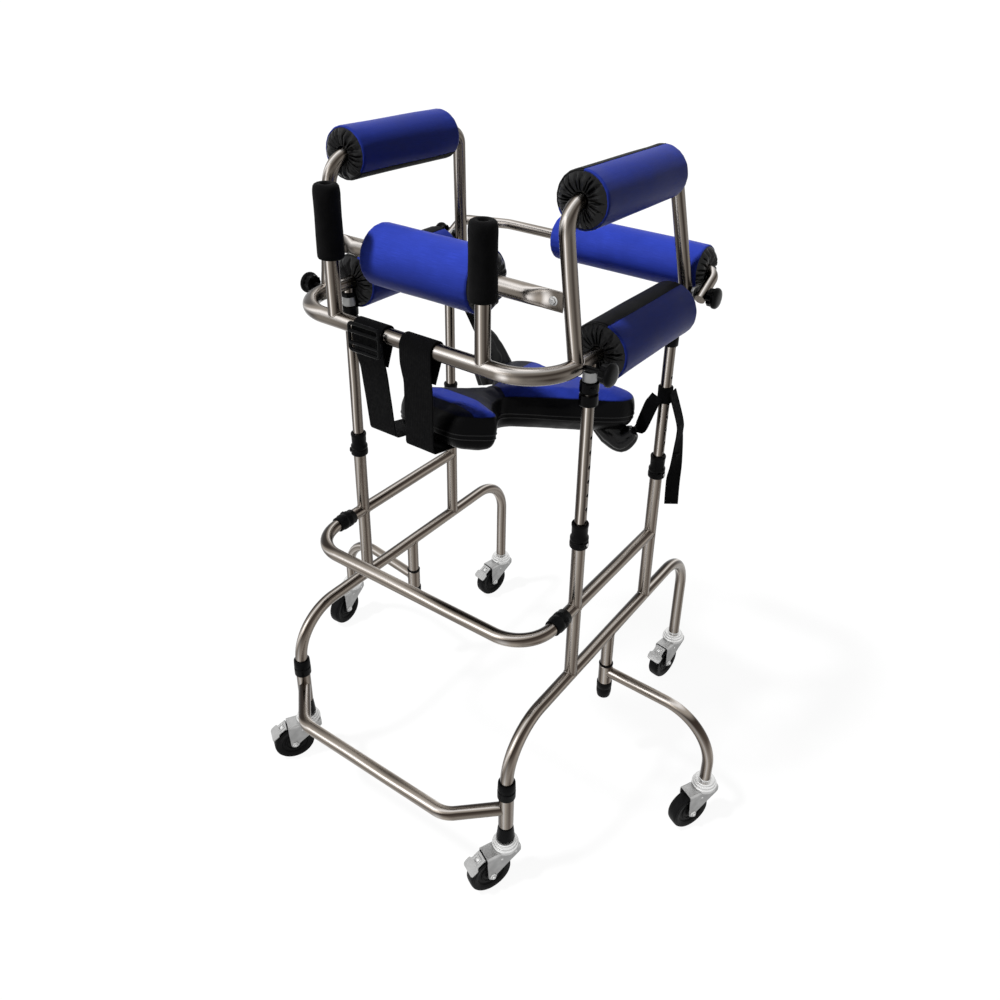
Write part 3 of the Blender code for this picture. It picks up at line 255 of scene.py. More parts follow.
def bent(points, radii, steps=14):
    """A path whose inner corners are bent to their radii."""
    points = [Vector(point) for point in points]
    path = [points[0]]
    for before, corner, after, radius in zip(points, points[1:], points[2:], radii):
        arrive = (corner - before).normalized()
        leave = (after - corner).normalized()
        turn = arrive.angle(leave)
        start = corner - arrive * (radius * math.tan(turn / 2))
        inward = (leave - arrive * math.cos(turn)).normalized()
        centre = start + inward * radius
        for i in range(steps + 1):
            angle = turn * i / steps
            path.append(centre + arrive * (radius * math.sin(angle)) - inward * (radius * math.cos(angle)))
    path.append(points[-1])
    return path


def smooth_path(points, steps=8):
    """A soft curve through the points."""
    points = [Vector(point) for point in points]
    path = []
    for i in range(len(points) - 1):
        a = points[max(i - 1, 0)]
        b, c = points[i], points[i + 1]
        d = points[min(i + 2, len(points) - 1)]
        for k in range(steps):
            t = k / steps
            bow = (2 * a - 5 * b + 4 * c - d) * t * t + (3 * b - a - 3 * c + d) * t**3
            path.append(0.5 * (2 * b + (c - a) * t + bow))
    path.append(points[-1])
    return path


def travel(path):
    """Directions along a path, and the distance gone at each point."""
    directions = []
    gone = [0.0]
    for i, point in enumerate(path):
        before = path[max(i - 1, 0)]
        after = path[min(i + 1, len(path) - 1)]
        directions.append((after - before).normalized())
        if i:
            gone.append(gone[-1] + (point - path[i - 1]).length)
    return directions, gone


def filled(path, longest):
    """The path with points added where two are further apart than the longest facet wanted."""
    dense = []
    for a, b in zip(path, path[1:]):
        count = max(1, math.ceil((b - a).length / longest))
        dense += [a.lerp(b, k / count) for k in range(count)]
    return dense + [path[-1]]


LONGEST_FACET = 0.016


def sweep(shape, path, radius, sides=32, slot=0, caps=(True, True), first_side=None, loop=False):
    """A round tube along a path. radius is one size, a size per point, or a pair of sizes per point."""
    path = [Vector(point) for point in path]
    if not isinstance(radius, list):
        path = filled(path, LONGEST_FACET)
    directions, gone = travel(path)
    if loop:
        count = len(path)
        directions = [(path[(i + 1) % count] - path[i - 1]).normalized() for i in range(count)]
    side = first_side or directions[0].cross(UP)
    if side.length < 0.1:
        side = RIGHT.copy()
    rings = []
    for i, (point, direction) in enumerate(zip(path, directions)):
        side = (side - direction * side.dot(direction)).normalized()
        other = direction.cross(side)
        size = radius[i] if isinstance(radius, list) else radius
        wide, thick = size if isinstance(size, tuple) else (size, size)
        ring = []
        for k in range(sides):
            angle = 2 * math.pi * k / sides
            ring.append(point + side * (wide * math.cos(angle)) + other * (thick * math.sin(angle)))
        rings.append(ring)
    shape.rings(rings, slot, loop=loop, caps=caps, mark=lambda i, j: (i / sides, gone[min(j, len(gone) - 1)]))


def turned(shape, profile, base=(0, 0, 0), axis=UP, sides=40, slot=0, swell=None, loop=False):
    """Turn a profile of (radius, height) about an axis. swell(angle, radius, height) changes the radius."""
    matrix = Matrix.Translation(Vector(base)) @ Vector(axis).to_track_quat("Z", "Y").to_matrix().to_4x4()
    rings = []
    for radius, height in profile:
        if radius == 0.0:
            rings.append([matrix @ Vector((0.0, 0.0, height))])
            continue
        ring = []
        for k in range(sides):
            angle = 2 * math.pi * k / sides
            size = swell(angle, radius, height) if swell else radius
            ring.append(matrix @ Vector((size * math.cos(angle), size * math.sin(angle), height)))
        rings.append(ring)
    shape.rings(rings, slot, loop=loop)


def sheet_metal(shape, outline, thickness, to_space):
    """A flat plate: outline points (u, v), thickness along w, each corner put in place by to_space."""
    rings = [[to_space(u, v, w) for u, v in outline] for w in (0.0, thickness)]
    shape.rings(rings, caps=(True, True))


def ribbon(shape, path, across, width, thickness):
    """Webbing along a path. across is one direction or one per point, width one size or one per point."""
    path = [Vector(point) for point in path]
    directions, gone = travel(path)
    lip = thickness * 0.35
    thick = thickness / 2
    rings = []
    for i, (point, direction) in enumerate(zip(path, directions)):
        wide = Vector(across[i] if isinstance(across, list) else across)
        wide = (wide - direction * wide.dot(direction)).normalized()
        out = direction.cross(wide).normalized()
        half = (width[i] if isinstance(width, list) else width) / 2
        ring = [(half, 0), (half - lip / 2, thick * 0.7), (half - lip, thick), (0, thick)]
        ring += [(-half + lip, thick), (-half + lip / 2, thick * 0.7), (-half, 0)]
        ring += [(-half + lip / 2, -thick * 0.7), (-half + lip, -thick), (0, -thick)]
        ring += [(half - lip, -thick), (half - lip / 2, -thick * 0.7)]
        rings.append([point + wide * a + out * b for a, b in ring])
    shares = [1.0, 0.98, 0.94, 0.5, 0.06, 0.02, 0.0, 0.02, 0.06, 0.5, 0.94, 0.98, 1.0]
    size = width[0] if isinstance(width, list) else width

    def mark(i, j):
        return shares[i % len(shares)] * size, gone[min(j, len(gone) - 1)]

    shape.rings(rings, caps=(True, True), mark=mark)


def sleeve_profile(inside, outside, tall, edge):
    """Profile of a sleeve whose outer edges are broken."""
    profile = [(inside, 0.0), (outside - edge, 0.0), (outside, edge)]
    return profile + [(outside, tall - edge), (outside - edge, tall), (inside, tall)]


def weld(shape, centre, axis, radius, mate_axis, mate_radius, bead):
    """A bead of weld where a tube meets another one square."""
    axis, mate_axis = Vector(axis), Vector(mate_axis)
    third = axis.cross(mate_axis)
    path = []
    for k in range(48):
        angle = 2 * math.pi * k / 48
        off = radius * math.cos(angle)
        rise = math.sqrt(max(mate_radius**2 - off**2, 0.0))
        path.append(Vector(centre) + third * off + mate_axis * (radius * math.sin(angle)) + axis * rise)
    sweep(shape, path, bead, sides=8, caps=(False, False), loop=True)


def rough(point, scale, seed=0.0):
    """Smooth noise between -1 and 1 at a point."""
    return noise.noise(Vector(point) * scale + Vector((seed, seed * 1.7, -seed)))


# ------- sizes and colours


def size_property(name, description, default):
    """A size in metres that a user may change."""
    return FloatProperty(name=name, description=description, default=default, unit="LENGTH")


def colour_property(name, description, default):
    """A colour that a user may change."""
    return FloatVectorProperty(name=name, description=description, default=default, subtype="COLOR", min=0, max=1)


class WalkerSizes(bpy.types.PropertyGroup):
    """Tube and trim sizes of the walking frame."""

    tube: size_property("Frame tube", "Outer diameter of the frame tube", 0.022)
    leg: size_property("Inner leg", "Outer diameter of the sliding legs", 0.019)
    sleeve: size_property("Sleeve", "Outer diameter of the sleeves", 0.0254)
    handle: size_property("Handlebar", "Outer diameter of the handlebar", 0.025)
    outrigger: size_property("Outrigger", "Outer diameter of the outriggers", 0.020)
    back_bar: size_property("Back bar", "Outer diameter of the back bar", 0.0185)
    roll_bar: size_property("Front roll bar", "Outer diameter of the front bar", 0.028)
    weld: size_property("Weld bead", "Half the width of a weld bead", 0.0011)
    hole: size_property("Height hole", "Diameter of the holes in the legs", 0.006)
    hole_pitch: size_property("Hole pitch", "Distance between the holes", 0.025)
    hole_count: IntProperty(name="Holes", description="Holes in each leg", default=13, min=1)
    hole_first: size_property("Lowest hole", "Height of the lowest hole", 0.484)


class WalkerRolls(bpy.types.PropertyGroup):
    """Padded rolls."""

    arm: size_property("Arm rest roll", "Radius of the arm rest rolls", 0.042)
    side: size_property("Side roll", "Radius of the side rolls", 0.0465)
    front: size_property("Front roll", "Radius of the front roll", 0.049)
    back: size_property("Back roll", "Radius of the back roll", 0.0415)
    rim: size_property("Rim", "How far the rim rounds over", 0.0030)
    piping: size_property("Piping", "Radius of the edge piping", 0.0008)
    pleats: IntProperty(name="Pleats", description="Gathers round each end", default=19, min=6)
    pleat_depth: size_property("Pleat depth", "Depth of the gathers", 0.0050)
    dome: size_property("End bulge", "How far the gathered end stands out", 0.0065)


class WalkerWebbing(bpy.types.PropertyGroup):
    """Straps."""

    thickness: size_property("Web thickness", "Thickness of the webbing", 0.0025)
    front: size_property("Front web", "Width of the front webs", 0.058)
    rear: size_property("Rear web", "Width of the rear webs", 0.036)
    tail: size_property("Loose tail", "Width of the loose tail", 0.025)


class WalkerColours(bpy.types.PropertyGroup):
    """Colours of the finishes."""

    # The steel tones are painted reflection: dark, middle and bright streaks of a mirrored room, painted into the
    # tube's colour.
    steel_reflection_dark: colour_property("Steel, dark", "Polished tube where it mirrors the room", (0.055, 0.042, 0.034))
    steel_reflection_middle: colour_property("Steel, middle", "Polished tube between the streaks", (0.235, 0.205, 0.175))
    steel_reflection_bright: colour_property("Steel, bright", "Polished tube in its bright streaks", (0.88, 0.83, 0.79))
    zinc: colour_property("Zinc", "Plated casters and plates", (0.24, 0.24, 0.238))
    cover: colour_property("Cover", "Blue cover cloth", (0.036, 0.066, 0.50))
    nylon: colour_property("Gathered ends", "Black nylon", (0.003, 0.003, 0.0034))
    webbing: colour_property("Webbing", "Black webbing", (0.0022, 0.0022, 0.0025))
    plastic: colour_property("Plastic", "Black collars and knobs", (0.0022, 0.0022, 0.0025))


GROUPS = {
    "walker_sizes": WalkerSizes,
    "walker_rolls": WalkerRolls,
    "walker_webbing": WalkerWebbing,
    "walker_colours": WalkerColours,
}


# ------- finishes


class Finish:
    """One node material in the making."""

    def __init__(self, name):
        self.material = bpy.data.materials.new(name)
        self.material.use_nodes = True
        self.tree = self.material.node_tree
        self.shader = self.tree.nodes["Principled BSDF"]
        self.place = self.tree.nodes.new("ShaderNodeTexCoord")

    def feed(self, socket, value):
        """Link another node's output to the socket, or set the socket to a plain value."""
        if isinstance(value, bpy.types.NodeSocket):
            self.tree.links.new(value, socket)
        else:
            socket.default_value = value

    def node(self, kind, settings=None, **inputs):
        made = self.tree.nodes.new(kind)
        for key, value in (settings or {}).items():
            setattr(made, key, value)
        for key, value in inputs.items():
            self.feed(made.inputs[key.replace("_", " ")], value)
        return made

    def maths(self, operation, a, b=0.0, c=0.0):
        made = self.node("ShaderNodeMath", {"operation": operation})
        for socket, value in zip(made.inputs, (a, b, c)):
            self.feed(socket, value)
        return made.outputs[0]

    def vector_maths(self, operation, a, b, c=(0.0, 0.0, 0.0)):
        made = self.node("ShaderNodeVectorMath", {"operation": operation})
        for socket, value in zip(made.inputs, (a, b, c)):
            self.feed(socket, value)
        return made

    def scaled(self, vector, sizes, shift=(0.0, 0.0, 0.0)):
        return self.vector_maths("MULTIPLY_ADD", vector, sizes, shift).outputs[0]

    def turned_to(self, direction):
        """How far the surface is turned to a direction in the piece's own space."""
        return self.vector_maths("DOT_PRODUCT", self.place.outputs["Normal"], direction).outputs["Value"]

    def noise(self, vector, scale, detail=2.0, roughness=0.5):
        made = self.node("ShaderNodeTexNoise", Vector=vector, Scale=scale, Detail=detail, Roughness=roughness)
        return made.outputs[0]

    def speckle(self, scale, detail=2.0, roughness=0.5):
        """Noise in the piece's own space."""
        return self.noise(self.place.outputs["Object"], scale, detail, roughness)

    def ramp(self, value, stops, mode="LINEAR"):
        made = self.node("ShaderNodeValToRGB")
        made.color_ramp.interpolation = mode
        elements = made.color_ramp.elements
        while len(elements) < len(stops):
            elements.new(0.5)
        for element, (spot, colour) in zip(elements, stops):
            element.position = spot
            element.color = (*colour, 1.0)
        self.feed(made.inputs[0], value)
        return made.outputs["Color"]

    def shades(self, value, base, stops):
        """A ramp through darker and lighter shades of one colour."""
        return self.ramp(value, [(spot, shade(base, much)) for spot, much in stops])

    def spread(self, value, low, high, from_low, from_high):
        limits = {"From_Min": from_low, "From_Max": from_high, "To_Min": low, "To_Max": high}
        return self.node("ShaderNodeMapRange", Value=value, **limits).outputs["Result"]

    def mixed(self, share, first, second):
        made = self.node("ShaderNodeMix", {"data_type": "RGBA"}, Factor=share)
        self.feed(made.inputs[6], first)
        self.feed(made.inputs[7], second)
        return made.outputs[2]

    def colour(self, value):
        self.feed(self.shader.inputs["Base Color"], value)

    def roughness(self, value):
        self.feed(self.shader.inputs["Roughness"], value)

    def bump(self, height, strength, distance):
        made = self.node("ShaderNodeBump", Strength=strength, Distance=distance, Height=height)
        self.feed(self.shader.inputs["Normal"], made.outputs["Normal"])

    def plain(self, **values):
        for key, value in values.items():
            self.shader.inputs[key.replace("_", " ")].default_value = value


def shade(colour, factor):
    """The colour made darker or lighter."""
    return tuple(min(channel * factor, 1.0) for channel in colour)


# Painted reflection streaks of the polished tubes: place across the turn of the surface, tone and how much of it
LOWER_UPRIGHT_REFLECTION = (
    (0.00, "dark", 0.8), (0.12, "dark", 1.0), (0.24, "warm", 1.1), (0.35, "light", 0.52),
    (0.46, "warm", 1.3), (0.58, "warm", 0.75), (0.72, "dark", 1.7), (0.86, "warm", 0.9), (1.00, "dark", 1.2),
)
LOWER_LEVEL_REFLECTION = (
    (0.00, "dark", 0.15), (0.10, "dark", 0.6), (0.18, "warm", 1.3), (0.26, "light", 0.80),
    (0.33, "warm", 1.3), (0.42, "dark", 0.7), (0.58, "dark", 1.2), (0.74, "warm", 1.5), (0.92, "warm", 0.8),
)
UPPER_UPRIGHT_REFLECTION = (
    (0.00, "dark", 0.6), (0.15, "dark", 0.8), (0.25, "warm", 0.8), (0.34, "light", 1.00),
    (0.41, "warm", 1.40), (0.52, "warm", 0.60), (0.70, "dark", 0.7), (0.86, "warm", 0.7), (1.00, "dark", 1.0),
)
UPPER_LEVEL_REFLECTION = (
    (0.00, "dark", 0.3), (0.10, "dark", 0.8), (0.17, "warm", 1.2), (0.25, "light", 1.00),
    (0.33, "light", 0.50), (0.42, "warm", 0.7), (0.56, "dark", 0.7), (0.75, "warm", 0.9), (0.92, "warm", 0.6),
)


def polished_steel(name, colours, seed, upright, level):
    """Polished tube with painted reflection: streaks painted into its colour by the turn of its surface, as a room
    mirrored in it would give.
    """
    made = Finish(name)
    reflection_tones = {"dark": colours.steel_reflection_dark, "warm": colours.steel_reflection_middle, "light": colours.steel_reflection_bright}
    place = made.scaled(made.place.outputs["Object"], (1.0, 1.0, 1.0), (seed, seed, -seed))
    drift = made.maths("MULTIPLY_ADD", made.noise(place, 5.0, 1.0), 0.26, -0.13)
    streaks = []
    # Painted reflection: each ramp colours the surface by which way it turns, for upright and level tubes apart.
    for stops, across in ((upright, (0.42, 0.27, 0.0)), (level, (0.35, 0.0, -0.36))):
        spot = made.maths("ADD", made.maths("ADD", made.turned_to(across), 0.5), drift)
        stops = [(where, shade(reflection_tones[tone], much)) for where, tone, much in stops]
        streaks.append(made.ramp(spot, stops, "EASE"))
    height = made.node("ShaderNodeSeparateXYZ", Vector=made.place.outputs["Normal"]).outputs["Z"]
    level_share = made.spread(made.maths("ABSOLUTE", height), 0.0, 1.0, 0.04, 0.50)
    made.colour(made.mixed(level_share, streaks[0], streaks[1]))
    made.roughness(made.spread(made.speckle(90.0, 4.0, 0.6), 0.20, 0.30, 0.3, 0.7))
    made.bump(made.speckle(120.0), 0.01, 0.0002)
    made.plain(Metallic=1.0)
    return made.material


def plated_zinc(name, colours, tone=1.0):
    """Plated pressings with painted light: lighter where they face up and darker below, with random patches and a soft
    grain.
    """
    made = Finish(name)
    # Painted light: the colour is lighter where the surface faces up, with random patches added.
    turn = made.turned_to((0.12, -0.16, 0.42))
    patches = made.maths("MULTIPLY", made.speckle(60.0, 3.0), 0.30)
    painted_light_and_patches = made.maths("ADD", made.maths("ADD", turn, 0.35), patches)
    stops = ((0.10, 0.22), (0.32, 0.65), (0.52, 1.0), (0.76, 1.7), (1.0, 2.3))
    made.colour(made.shades(painted_light_and_patches, colours.zinc, [(spot, much * tone) for spot, much in stops]))
    made.roughness(made.spread(made.speckle(240.0, 3.0), 0.38, 0.52, 0.3, 0.7))
    made.bump(made.speckle(420.0, 3.0), 0.08, 0.0002)
    made.plain(Metallic=1.0)
    return made.material


def moulded_plastic(name, colours, low=0.28, high=0.5):
    """Moulded black plastic with rubbed, greyer spots."""
    made = Finish(name)
    rub = made.speckle(120.0, 4.0, 0.65)
    made.colour(made.shades(rub, colours.plastic, ((0.35, 0.6), (0.62, 1.8), (0.78, 5.0))))
    made.roughness(made.spread(rub, low, high, 0.3, 0.7))
    made.bump(made.speckle(900.0), 0.2, 0.0002)
    made.plain(Specular_IOR_Level=0.06)
    return made.material


def tyre_rubber(name):
    """Black rubber with dust in patches."""
    made = Finish(name)
    dust = made.speckle(70.0, 5.0, 0.7)
    clean, worn, dusty = (0.003, 0.003, 0.003), (0.008, 0.008, 0.0085), (0.022, 0.021, 0.02)
    made.colour(made.ramp(dust, [(0.35, clean), (0.65, worn), (0.8, dusty)]))
    made.roughness(made.spread(dust, 0.35, 0.62, 0.3, 0.75))
    made.bump(made.speckle(600.0, 3.0), 0.3, 0.0004)
    made.plain(Specular_IOR_Level=0.07)
    return made.material


def grip_foam(name):
    """Soft foam: fine open cells, no shine."""
    made = Finish(name)
    cells = made.node("ShaderNodeTexVoronoi", Vector=made.place.outputs["Object"], Scale=900.0)
    dark, rubbed = (0.004, 0.004, 0.0043), (0.010, 0.0098, 0.0102)
    made.colour(made.ramp(made.speckle(60.0, 4.0), [(0.3, dark), (0.7, rubbed)]))
    made.roughness(made.spread(cells.outputs["Distance"], 0.62, 0.85, 0.0, 0.8))
    made.bump(cells.outputs["Distance"], 0.35, 0.0006)
    made.plain(Sheen_Weight=0.02, Sheen_Roughness=0.5, Specular_IOR_Level=0.05)
    return made.material


def weave(made, vector, pitch):
    """Over-and-under threads: a plain weave at the given pitch."""
    split = made.node("ShaderNodeSeparateXYZ", Vector=vector)
    turns = 2 * math.pi / pitch
    warp = made.maths("SINE", made.maths("MULTIPLY", split.outputs["X"], turns))
    weft = made.maths("SINE", made.maths("MULTIPLY", split.outputs["Y"], turns))
    return made.maths("MULTIPLY", warp, weft)


def cover_cloth(name, base, gloss=0.42, light=1.35, pitch=0.0011, specular=0.08):
    """Taut satin-faced nylon: a fine weave, slubs along the threads and soft rub marks."""
    made = Finish(name)
    cloth = made.place.outputs["UV"]
    threads = weave(made, cloth, pitch)
    slubs = made.noise(made.scaled(cloth, (900.0, 40.0, 1.0)), 1.0, 3.0, 0.6)
    rub = made.speckle(14.0, 5.0, 0.65)
    tone = made.maths("MULTIPLY_ADD", slubs, 0.45, made.maths("MULTIPLY", rub, 0.55))
    made.colour(made.shades(tone, base, ((0.30, 0.80), (0.52, 1.0), (0.72, light))))
    made.roughness(made.spread(tone, gloss - 0.06, gloss + 0.10, 0.3, 0.7))
    height = made.maths("MULTIPLY_ADD", slubs, 0.5, made.maths("MULTIPLY", threads, 0.12))
    made.bump(height, 0.22, 0.0006)
    made.plain(Sheen_Weight=0.015, Sheen_Roughness=0.45, Specular_IOR_Level=specular)
    made.shader.inputs["Sheen Tint"].default_value = (*shade(base, 1.8), 1.0)
    return made.material


def seat_cloth(name, colours):
    """Cloths of the seat: blue strip and wings, dark neck and nose, creased black sides.

    The UV map holds the place across and along the seat, and "Below" how far under its top.
    """
    made = Finish(name)
    cloth = made.place.outputs["UV"]
    spot = made.place.outputs["Object"]
    split = made.node("ShaderNodeSeparateXYZ", Vector=cloth)
    across, along = split.outputs["X"], split.outputs["Y"]
    below = made.node("ShaderNodeAttribute", {"attribute_name": "Below"}).outputs["Fac"]
    blur = 0.0012

    def past(value, place):
        return made.spread(value, 0.0, 1.0, place - blur, place + blur)

    def both(a, b):
        return made.maths("MULTIPLY", a, b)

    strip = both(past(along, SEAT_STRIP[0]), made.maths("SUBTRACT", 1.0, past(along, SEAT_STRIP[1])))
    slant = made.maths("MAXIMUM", made.maths("MULTIPLY_ADD", across, -2.2, -0.022), 0.0)
    wings = past(made.maths("SUBTRACT", along, slant), SEAT_WINGS)
    blue = made.maths("MAXIMUM", strip, wings)
    side = past(below, SEAT_TOP_EDGE)
    threads = weave(made, cloth, 0.0012)
    slubs = made.noise(made.scaled(cloth, (900.0, 60.0, 1.0)), 1.0, 3.0, 0.6)
    rub = made.speckle(16.0, 5.0, 0.65)
    tone = made.maths("MULTIPLY_ADD", slubs, 0.4, made.maths("MULTIPLY", rub, 0.6))
    looks = []
    # Painted shade: the seat's blue is the cover darkened to 0.72.
    for base in (shade(colours.cover, 0.72), (0.003, 0.004, 0.016), colours.nylon):
        looks.append(made.shades(tone, base, ((0.32, 0.78), (0.52, 1.0), (0.72, 1.35))))
    top = made.mixed(blue, looks[1], looks[0])
    made.colour(made.mixed(side, top, looks[2]))
    dull = made.spread(tone, 0.42, 0.60, 0.3, 0.7)
    made.roughness(made.maths("MULTIPLY_ADD", side, -0.20, dull))
    folds = made.noise(made.scaled(spot, (1.0, 1.0, 0.45)), 30.0, 2.5, 0.5)
    fine = made.maths("MULTIPLY_ADD", slubs, 0.25, made.maths("MULTIPLY", threads, 0.08))
    made.bump(made.maths("ADD", both(folds, side), fine), 0.30, 0.0012)
    made.plain(Sheen_Weight=0.01, Sheen_Roughness=0.4, Specular_IOR_Level=0.05)
    return made.material


def strap_web(name, base):
    """Woven webbing: a herringbone of ribs along its length."""
    made = Finish(name)
    cloth = made.place.outputs["UV"]
    split = made.node("ShaderNodeSeparateXYZ", Vector=cloth)
    rib_pitch, row_width = 0.0017, 0.0032
    zigzag = made.maths("PINGPONG", split.outputs["X"], row_width / 2)
    along = made.maths("ADD", split.outputs["Y"], zigzag)
    ribs = made.maths("SINE", made.maths("MULTIPLY", along, 2 * math.pi / rib_pitch))
    lines = made.maths("SINE", made.maths("MULTIPLY", split.outputs["X"], 2 * math.pi / row_width))
    fuzz = made.speckle(160.0, 4.0, 0.6)
    made.colour(made.shades(fuzz, base, ((0.32, 0.65), (0.55, 1.0), (0.75, 2.6))))
    made.roughness(made.spread(fuzz, 0.62, 0.85, 0.3, 0.7))
    made.bump(made.maths("MULTIPLY_ADD", ribs, 0.5, made.maths("MULTIPLY", lines, 0.35)), 0.4, 0.0005)
    made.plain(Sheen_Weight=0.015, Sheen_Roughness=0.5, Specular_IOR_Level=0.05)
    return made.material


class Finishes:
    """Every finish of the walking frame, made once."""

    def __init__(self, colours):
        upper, lower = (UPPER_UPRIGHT_REFLECTION, UPPER_LEVEL_REFLECTION), (LOWER_UPRIGHT_REFLECTION, LOWER_LEVEL_REFLECTION)
        self.steel = polished_steel("Polished steel", colours, 0.0, *upper)
        self.steel_upper = polished_steel("Polished steel, upper frame", colours, 3.1, *upper)
        self.steel_base = polished_steel("Polished steel, base", colours, 6.4, *lower)
        self.zinc = plated_zinc("Plated zinc", colours)
        self.bright = plated_zinc("Bright bolt", colours, 1.6)
        self.clip = plated_zinc("Grey clip", colours, 0.8)
        self.plastic = moulded_plastic("Black plastic", colours)
        self.gloss = moulded_plastic("Glossy black plastic", colours, 0.14, 0.3)
        self.rubber = tyre_rubber("Tyre rubber")
        self.foam = grip_foam("Grip foam")
        self.cover = cover_cloth("Blue cover", colours.cover)
        # Painted shade: the blue cover darkened to 0.72 for the arm and side rolls.
        self.painted_shade_cover = cover_cloth("Blue cover, painted shade", shade(colours.cover, 0.72))
        self.closure = cover_cloth("Black closure panel", colours.nylon, 0.5, 1.6, 0.0011, 0.03)
        self.piping = cover_cloth("Blue piping", shade(colours.cover, 0.85), 0.4)
        self.nylon = cover_cloth("Black nylon", colours.nylon, 0.30, 2.2, 0.0009, 0.22)
        self.seat = seat_cloth("Seat cloths", colours)
        self.webbing = strap_web("Webbing", colours.webbing)


FINISHES = {}


def finishes():
    """The finishes, made the first time that a piece asks for them."""
    if "all" not in FINISHES:
        FINISHES["all"] = Finishes(bpy.context.scene.walker_colours)
    return FINISHES["all"]


# ------- frame tubes


class WALKER_OT_side_frames(bpy.types.Operator):
    """Lower rails with their legs and stubs, and the ladders welded on them"""

    bl_idname = "walker.side_frames"
    bl_label = "Side frames"

    def execute(self, context):
        sizes = context.scene.walker_sizes
        steel = finishes().steel_base
        radius = sizes.tube / 2
        for side, sign in SIDES.items():
            x = sign * FRAME_X
            corners = [(x, FRONT_LEG_Y, LEG_END_Z), (x, FRONT_LEG_Y, LOWER_RAIL_Z)]
            corners += [(x, REAR_LEG_Y, LOWER_RAIL_Z), (x, REAR_LEG_Y, LEG_END_Z)]
            rail = Shape()
            sweep(rail, bent(corners, [RAIL_BEND] * 2, 24), radius, first_side=RIGHT)
            sweep(rail, [(x, OUTRIGGER_Y, LOWER_RAIL_Z), (x, OUTRIGGER_Y, STUB_END_Z)], radius, first_side=RIGHT)
            weld(rail, (x, OUTRIGGER_Y, LOWER_RAIL_Z), -UP, radius, BACK, radius, sizes.weld)
            rail.build(f"Rail_{side}", [steel], "base", "steel", [f"lower_rail_{side}"])
            ladder = Shape()
            for y in UPRIGHT_Y.values():
                sweep(ladder, [(x, y, LOWER_RAIL_Z + radius * 0.4), (x, y, UPRIGHT_TOP_Z)], radius, first_side=RIGHT)
                weld(ladder, (x, y, LOWER_RAIL_Z), UP, radius, BACK, radius, sizes.weld)
            front, rear = UPRIGHT_Y.values()
            sweep(ladder, [(x, CROSSBAR_JOINT_Y, UPPER_RAIL_Z), (x, front, UPPER_RAIL_Z)], radius, first_side=RIGHT)
            sweep(ladder, [(x, front, UPPER_RAIL_Z), (x, rear, UPPER_RAIL_Z)], radius, first_side=RIGHT)
            for y, way in ((front, 1.0), (front, -1.0), (rear, -1.0)):
                weld(ladder, (x, y, UPPER_RAIL_Z), BACK * way, radius, UP, radius, sizes.weld)
            ladder.build(f"Ladder_{side}", [steel], "base", "steel", [f"side_ladder_{side}"])
        return {"FINISHED"}


class WALKER_OT_crossbars(bpy.types.Operator):
    """The bent middle crossbar and the low front crossbar with its sleeves"""

    bl_idname = "walker.crossbars"
    bl_label = "Crossbars"

    def execute(self, context):
        sizes = context.scene.walker_sizes
        steel = finishes().steel_base
        radius = sizes.tube / 2
        bar = Shape()
        joint, y, z = CROSSBAR_JOINT_Y, MIDDLE_BAR_Y, UPPER_RAIL_Z
        corners = [(FRAME_X, joint, z), (FRAME_X, y, z), (-FRAME_X, y, z), (-FRAME_X, joint, z)]
        sweep(bar, bent(corners, [MIDDLE_BAR_BEND] * 2, 20), radius, first_side=UP)
        bar.build("Crossbar_middle", [steel], "base", "steel", ["mid_crossbar"])
        bar = Shape()
        y, z = FRONT_LEG_Y - LOW_BAR_BOW, LOW_BAR_Z
        corners = [(FRAME_X, FRONT_LEG_Y, z), (LOW_BAR_BEND_X, y, z)]
        corners += [(-LOW_BAR_BEND_X, y, z), (-FRAME_X, FRONT_LEG_Y, z)]
        sweep(bar, bent(corners, [LOW_BAR_BEND] * 2, 14), radius, first_side=UP)
        profile = sleeve_profile(radius, sizes.sleeve / 2, 0.066, 0.0008)
        for sign in SIDES.values():
            turned(bar, profile, (sign * FRAME_X, FRONT_LEG_Y, FRONT_SLEEVE_Z))
        bar.build("Crossbar_front", [steel], "base", "steel", ["front_crossbar"])
        return {"FINISHED"}


def snap_button(shape, point, direction, radius, rise, slot=0):
    """A spring button: a small dome on a short post."""
    profile = [(radius, -0.004), (radius, rise * 0.4), (radius * 0.85, rise * 0.75)]
    profile += [(radius * 0.5, rise * 0.95), (0.0, rise)]
    turned(shape, profile, point, direction, 24, slot)


